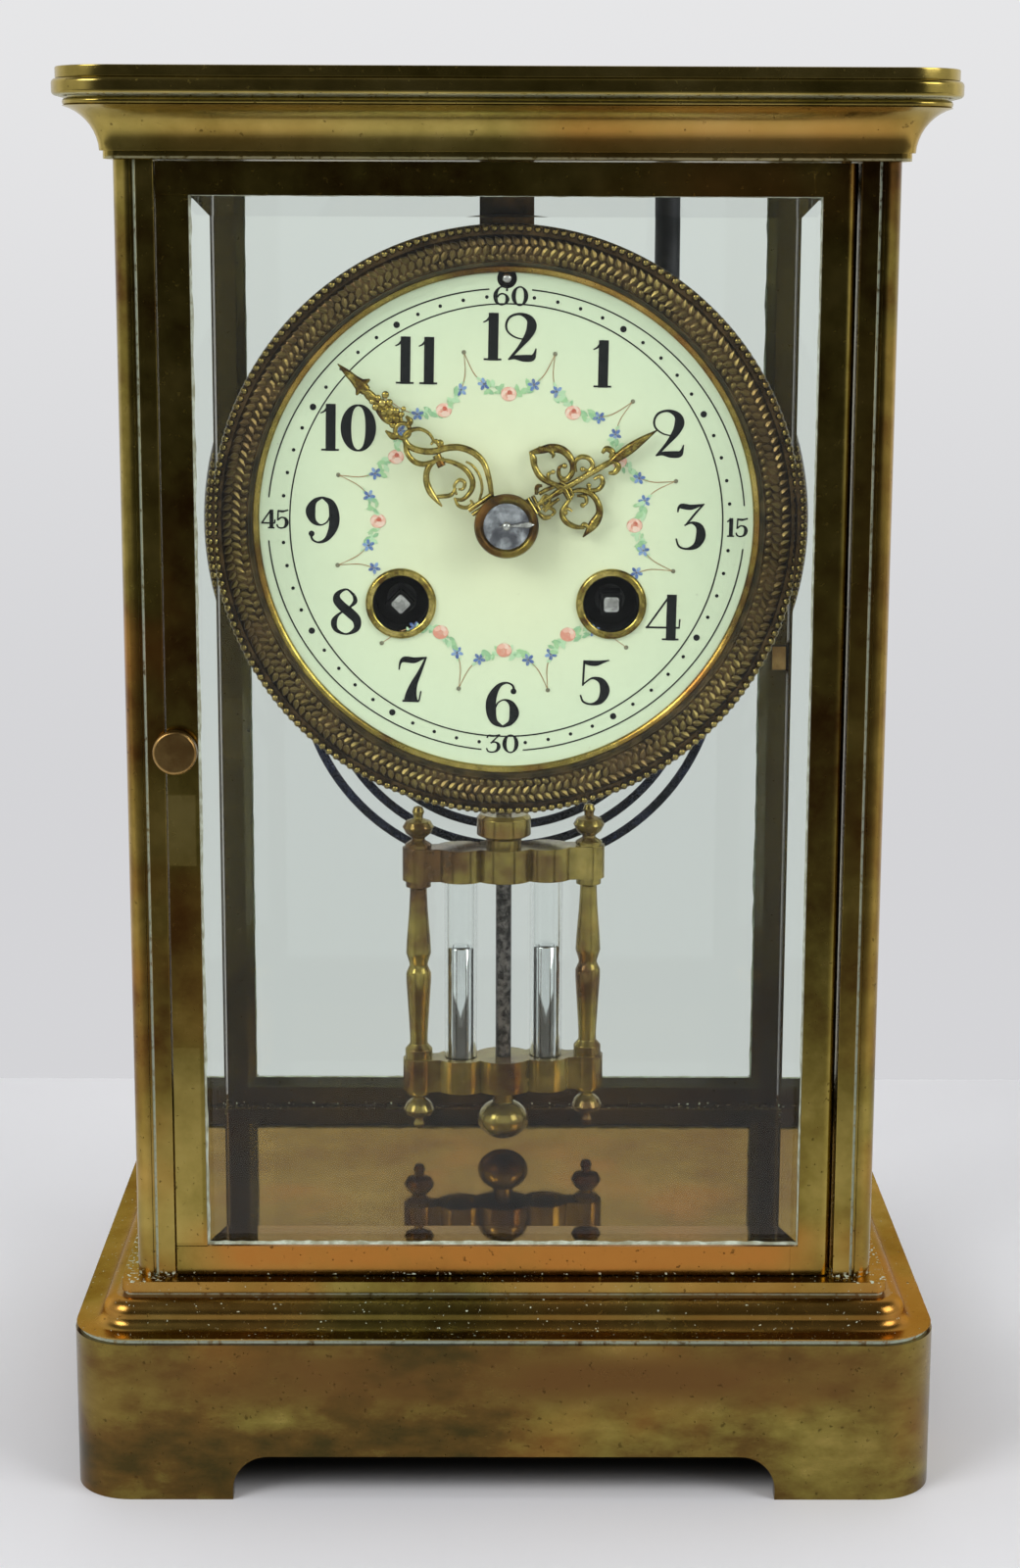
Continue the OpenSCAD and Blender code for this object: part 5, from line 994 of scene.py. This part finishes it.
# Bezel: turned ring with a bead edge and a stamped band of leaves. Rows: shape, count, ring, depth, size, slant,
# start in steps, unevenness, finish and sharp angle
bezel = {"front": -46.0, "giltRim": 46.13, "giltDepth": 3.99, "sides": 192,
         "profile": [(45.05, 3.96), (45.08, 3.5), (45.3, 3.2), (45.85, 3.05), (46.05, 3.0), (46.15, 2.75), (46.35, 2.2),
                     (46.55, 1.7), (46.8, 1.35), (46.9, 1.05), (47.05, 0.98), (47.2, 1.02), (47.35, 0.72), (48.3, 0.5),
                     (49.8, 0.42), (50.9, 0.52), (51.35, 0.75), (51.6, 1.3), (51.8, 1.5), (52.3, 1.5), (53.4, 1.55),
                     (53.6, 1.9), (53.7, 3.0), (53.7, 5.55), (47.85, 5.55), (47.85, 4.0)]}
bezelRows = {
    "bezelBeads": ("bead", 214, 52.97, 1.2, (0.72, 0.72, 0.72), 0.0, 0.0, 0.0, "bezelBead", 50),
    "bezelOuterLeaves": ("leaf", 204, 50.65, 0.44, (2.0, 2.4, 1.7), 0.6, 0.0, 0.2, "bezelBronze", 25),
    "bezelInnerLeaves": ("leaf", 204, 49.2, 0.5, (2.2, 2.4, 1.7), 2.6, 0.5, 0.2, "bezelBronze", 25),
    "bezelSeeds": ("bead", 204, 47.85, 0.75, (0.8, 0.56, 0.42), 0.5, 0.0, 0.3, "bezelBronze", 50)}
leafRim = [(-0.5, 0.0), (-0.28, 0.2), (0.08, 0.24), (0.55, 0.0), (0.08, -0.24), (-0.28, -0.2)]


def leafShape():
    # one stamped leaf, a keeled dart of a few faces that points along X
    bm = bmesh.new()
    low = [bm.verts.new((x, y, -0.12)) for x, y in leafRim]
    a, b, c, d, e, f = high = [bm.verts.new((x * 0.92, y * 0.9, 0.04)) for x, y in leafRim]
    tail, head = bm.verts.new((-0.26, 0.0, 0.2)), bm.verts.new((0.12, 0.0, 0.2))
    stitch(bm, [low, high], False)
    for corners in ([a, b, tail], [b, c, head, tail], [c, d, head], [d, e, head], [e, f, tail, head], [f, a, tail],
                    list(reversed(low))):
        bm.faces.new(corners)
    return outward(bm)


def ringTree(name):
    # Geometry Nodes: copies of one shape on a circle that faces the front
    tree = bpy.data.node_groups.new(name, "GeometryNodeTree")
    tree.interface.new_socket("Geometry", in_out="OUTPUT", socket_type="NodeSocketGeometry")
    for label, kind in {"Shape": "Object", "Count": "Int", "Ring": "Float", "Depth": "Float", "Size": "Vector",
                        "Slant": "Float", "Start": "Float", "Uneven": "Float", "Finish": "Material"}.items():
        tree.interface.new_socket(label, in_out="INPUT", socket_type="NodeSocket" + kind)
    given = tree.nodes.new("NodeGroupInput").outputs

    def grow(kind, sockets=None, **settings):
        made = tree.nodes.new(kind)
        for key, value in settings.items():
            setattr(made, key, value)
        for key, value in (sockets or {}).items():
            if isinstance(value, bpy.types.NodeSocket):
                tree.links.new(value, made.inputs[key])
            else:
                made.inputs[key].default_value = value
        return made.outputs[0]

    startTurn = grow("ShaderNodeCombineXYZ", {2: given["Start"]})
    circle = grow("GeometryNodeMeshCircle", {"Vertices": given["Count"], "Radius": given["Ring"]})
    spun = grow("GeometryNodeTransform", {"Geometry": circle, "Rotation": startTurn})
    aim = grow("FunctionNodeAlignRotationToVector", {"Vector": grow("GeometryNodeInputPosition")}, axis="X",
               pivot_axis="Z")
    wander = grow("FunctionNodeRandomValue", {"Seed": 4}, data_type="FLOAT").node
    least, most = [s for s in wander.inputs if s.type == "VALUE"][:2]
    least.default_value, most.default_value = -1.0, 1.0
    strayed = [s for s in wander.outputs if s.type == "VALUE"][0]
    scaled = grow("ShaderNodeMath", {0: strayed, 1: given["Uneven"]}, operation="MULTIPLY")
    lean = grow("ShaderNodeCombineXYZ", {2: grow("ShaderNodeMath", {0: given["Slant"], 1: scaled})})
    turned = grow("FunctionNodeRotateRotation", {0: aim, 1: grow("FunctionNodeEulerToRotation", {0: lean})},
                  rotation_space="LOCAL")
    shape = grow("GeometryNodeObjectInfo", {"Object": given["Shape"]}).node.outputs["Geometry"]
    copies = grow("GeometryNodeInstanceOnPoints", {"Points": spun, "Instance": shape, "Rotation": turned,
                                                   "Scale": given["Size"]})
    move = grow("ShaderNodeCombineXYZ", {1: given["Depth"], 2: hubPlace[2] * mm})
    placed = grow("GeometryNodeTransform", {"Geometry": copies, "Rotation": (math.pi / 2, 0, 0), "Translation": move})
    real = grow("GeometryNodeRealizeInstances", {0: placed})
    coat = grow("GeometryNodeSetMaterial", {"Geometry": real, "Material": given["Finish"]})
    tree.links.new(coat, tree.nodes.new("NodeGroupOutput").inputs[0])
    return tree


def runTree(tree, name, values):
    holder = newObject(name + "Work", bpy.data.meshes.new(name + "Work"))
    modifier = holder.modifiers.new("ring", "NODES")
    modifier.node_group = tree
    for item in tree.interface.items_tree:
        if item.in_out == "INPUT":
            modifier[item.identifier] = values[item.name]
    return settled(holder, name)


def makeBezel(b, rows):
    ring = lathe([(r, b["front"] + h) for r, h in b["profile"]], hubPlace, b["sides"], True)
    for face in ring.faces:
        x, y, z = face.calc_center_median() / mm
        face.material_index = int(math.hypot(x, z - hubPlace[2]) < b["giltRim"] and y < b["front"] + b["giltDepth"])
    addShape("bezelRing", ring, "bezelRecess rimGilt", "case", ["bezel"])
    ball = bmesh.new()
    bmesh.ops.create_icosphere(ball, subdivisions=2, radius=1.0)
    shapes = {name: newObject(name + "Shape", newMesh(name + "Shape", bm))
              for name, bm in {"bead": ball, "leaf": leafShape()}.items()}
    tree = ringTree("stampedRing")
    for name, (shape, count, r, depth, size, slant, start, uneven, look, sharp) in rows.items():
        mesh = runTree(tree, name, {"Shape": shapes[shape], "Count": count, "Ring": r * mm,
                                    "Depth": (b["front"] + depth) * mm, "Size": tuple(v * mm for v in size),
                                    "Slant": slant, "Start": start * math.tau / count, "Uneven": uneven,
                                    "Finish": finish[look]})
        addPiece(name, mesh, "case", (), sharp)
    for obj in shapes.values():
        bpy.data.objects.remove(obj)


makeBezel(bezel, bezelRows)
print("bezel stamped")


# Winding holes: black cups behind the rings, as painted shade for the dark insides of the holes, with the squares
# standing in them; and the regulator arbor above, in a black eye of painted shade
cups = {"places": {"strike_arbor": (-19.3, 165.2, 45), "going_arbor": (19.3, 165.2, 0)},
        "wall": [(5.08, -41.9), (5.08, -34.4), (2.8, -34.4), (2.8, -34.6), (4.9, -34.6), (4.9, -41.9)],
        "half": 1.92, "end": -43.08, "cut": 0.32, "worn": [(0.0, 3.0), (0.0, 0.6), (0.3, 0.2), (0.75, 0.0)],
        "regulator": [(0.0, -42.5), (0.35, -42.48), (0.75, -42.3), (0.95, -42.0), (1.0, -41.5), (1.0, -40.5),
                      (0.0, -40.5)],
        "eye": [(1.0, -42.04), (1.74, -42.04), (1.76, -41.6), (1.76, -40.6), (1.0, -40.6)],
        "regulatorPlace": (0.0, 0.0, 224.0), "shadow": (-0.034, -0.033)}


def makeArborFinish():
    # steel in the movement, black where the arbor runs in the shadow of its cup
    f = Finish("arborSteel")
    where = f.place()
    cloud, tint = cloudTint(f, where, 160, *metals["steel"][:2])
    deep = f.split(where)[1].above(*cups["shadow"])
    return f.shade({"Base Color": f.mix(deep, (0.004, 0.004, 0.004), tint), "Metallic": deep,
                    "Roughness": 0.26 + cloud * 0.14, "Specular IOR Level": 0.06})


def keySquare(x, z, turn, c):
    # end of a winding square with worn corners, black with painted shade where it comes out of the cup
    bm = bmesh.new()
    turn, cut = math.radians(turn), c["cut"]
    rings = []
    for inset, depth in c["worn"]:
        h = c["half"] - inset
        flat = [(-h, -h + cut), (-h, h - cut), (-h + cut, h), (h - cut, h), (h, h - cut), (h, -h + cut), (h - cut, -h),
                (-h + cut, -h)]
        rings.append([vert(bm, x + u * math.cos(turn) - v * math.sin(turn), c["end"] + depth,
                           z + u * math.sin(turn) + v * math.cos(turn)) for u, v in flat])
    for face in stitch(bm, rings)[0]:
        face.material_index = 1
    return outward(bm)


finish["arborSteel"] = makeArborFinish()
wear("arborSteel", "going_arbor strike_arbor")
for side, (x, z, turn) in zip("LR", cups["places"].values()):
    addShape("windingCup" + side, lathe(cups["wall"], (x, 0, z), 64, True), "holeBlack", "case", (), 30)
for node, spot in cups["places"].items():
    addShape(node + "Square", keySquare(*spot, cups), "keySteel holeBlack", bodyOf[node])
addShape("regulatorEye", lathe(cups["eye"], cups["regulatorPlace"], 32, True), "holeBlack", "case", (), 30)
addShape("regulatorEnd", lathe(cups["regulator"], cups["regulatorPlace"], 32), "keySteel", "case")
print("holes lined")


# Gong: one blued wire wound inwards behind the pendulum
gong = {"y": 35.0, "z": 142.0, "start": 36.0, "ring": 45.5, "pitch": 4.5, "turns": 2.75, "wire": 0.97, "lead": 1.9,
        "steps": 330, "sides": 14}


def windGong(g):
    bm = bmesh.new()
    path = []
    for k in range(g["steps"] + 1):
        t = k / g["steps"] * g["turns"]
        a = math.radians(g["start"] - 360 * t)
        r = g["ring"] - g["pitch"] * t
        path.append((r * math.cos(a), r * math.sin(a), math.sin(a), -math.cos(a)))
    # straight leads at both ends
    (x, z, u, v), (x2, z2, u2, v2) = path[0], path[-1]
    lead = g["lead"]
    path = [(x - lead * u, z - lead * v, u, v), *path, (x2 + lead * u2, z2 + lead * v2, u2, v2)]
    turns = [k * math.tau / g["sides"] for k in range(g["sides"])]
    circle = [(g["wire"] * math.cos(a), g["wire"] * math.sin(a)) for a in turns]
    stitch(bm, [[vert(bm, x - v * c, g["y"] + s, g["z"] + z + u * c) for c, s in circle] for x, z, u, v in path])
    return outward(bm)


addShape("gongWire", windGong(gong), "gongSteel", "case", ["gong"], 60)


# Pendulum: mercury with a curved surface, and the brass with its edges eased. Surface: rows of radius and drop
mercury = {"gap": 18.1, "y": 23.5, "twist": 5.0, "r": 2.7, "foot": 0.3, "sides": 48,
           "surface": [(1.0, 0.55), (0.93, 0.3025), (0.7, 0.11), (0.35, 0.04), (0.0, 0.0)],
           "tongue": 0.5, "tip": (-0.0006, 0.0012), "slope": 3.6, "strip": (0.5, 0.62), "line": (0.52, 0.6),
           "lineEdge": 0.00006, "front": (-0.3, 0.3), "dark": (0.07, 0.06, 0.044)}


def makeMercury(m):
    # a mirror with a painted reflection on the front: a dark foot in the middle, and a fine dark line up each side of
    # that, standing in for the dark room it mirrors
    f = Finish("columnMercury")
    where = f.place()
    x, y, z = f.split(where)
    low, high = (corner[2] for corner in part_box("mercury"))
    across = abs(abs(x) - m["gap"] / 2 * mm)
    r = m["r"] * mm
    tip = low + (high - low) * m["tongue"]
    foot = (1.0 - across.above(*(v * r for v in m["strip"]))) \
        * (1.0 - (z - across * m["slope"]).above(*(tip + v for v in m["tip"]))) * 0.9
    line = across.within(*(v * r for v in m["line"]), m["lineEdge"]) * 0.7
    shade = foot.math("MAXIMUM", foot, line) * (1.0 - y.above(*((m["y"] + v) * mm for v in m["front"])))
    cloud, tint = cloudTint(f, where, 30, *metals["quicksilver"][:2])
    return f.shade({"Base Color": f.mix(shade, tint, m["dark"]), "Metallic": 1.0, "Roughness": 0.03 + cloud * 0.08})


def fillVials(m):
    low, high = (corner[2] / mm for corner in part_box("mercury"))
    r, half, twist = m["r"], m["gap"] / 2, math.radians(m["twist"])
    profile = [(0.0, low), (r * 0.9, low), (r, low + m["foot"])] + [(r * f, high - drop) for f, drop in m["surface"]]
    bm = bmesh.new()
    for side in (-half, half):
        lathe(profile, (side * math.cos(twist), m["y"] + side * math.sin(twist), 0.0), m["sides"], False, "z", bm)
    return bm


finish["columnMercury"] = makeMercury(mercury)
addShape("mercuryColumns", fillVials(mercury), "columnMercury", "bob", ["mercury"])
for node, width in {"bob_frame": 0.22, "rating_nut": 0.15, "winding_rings": 0.1}.items():
    easeEdges(node, width)
print("pendulum and gong made")


# Chalky polish caught between the panes and the door frames; the rear door is the front one turned half round
putty = {"left": -55.7, "right": 55.1, "low": 45.4, "high": 238.4, "front": -0.25, "back": 0.78, "steps": 70,
         "wide": {"left": 0.5, "low": 0.45, "right": 0.25, "high": 0.2}, "ragged": (0.4, 1.0)}


def layPutty(p):
    bm = bmesh.new()
    rand = random.Random(11)
    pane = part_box("front_glass")[0][1] / mm
    low, high = (p["left"], p["low"]), (p["right"], p["high"])
    lines = {"left": (low, (low[0], high[1]), (1, 0)), "low": (low, (high[0], low[1]), (0, 1)),
             "right": ((high[0], low[1]), high, (-1, 0)), "high": ((low[0], high[1]), high, (0, -1))}
    for side, (start, end, inward) in lines.items():
        rings = []
        for k in range(p["steps"] + 1):
            x, z = (a + (b - a) * k / p["steps"] for a, b in zip(start, end))
            w = p["wide"][side] * rand.uniform(*p["ragged"])
            rings.append([vert(bm, x, pane + p["front"], z), vert(bm, x, pane + p["back"], z),
                          vert(bm, x + inward[0] * w, pane + p["back"], z + inward[1] * w)])
        stitch(bm, rings)
    return outward(bm)


for door, turn in {"front": 0.0, "rear": math.pi}.items():
    bm = layPutty(putty)
    bm.transform(Matrix.Rotation(turn, 4, "Z"))
    addShape(door + "Putty", bm, "putty", door + "_door", (), 60)
print("putty laid")

print("scene ready")
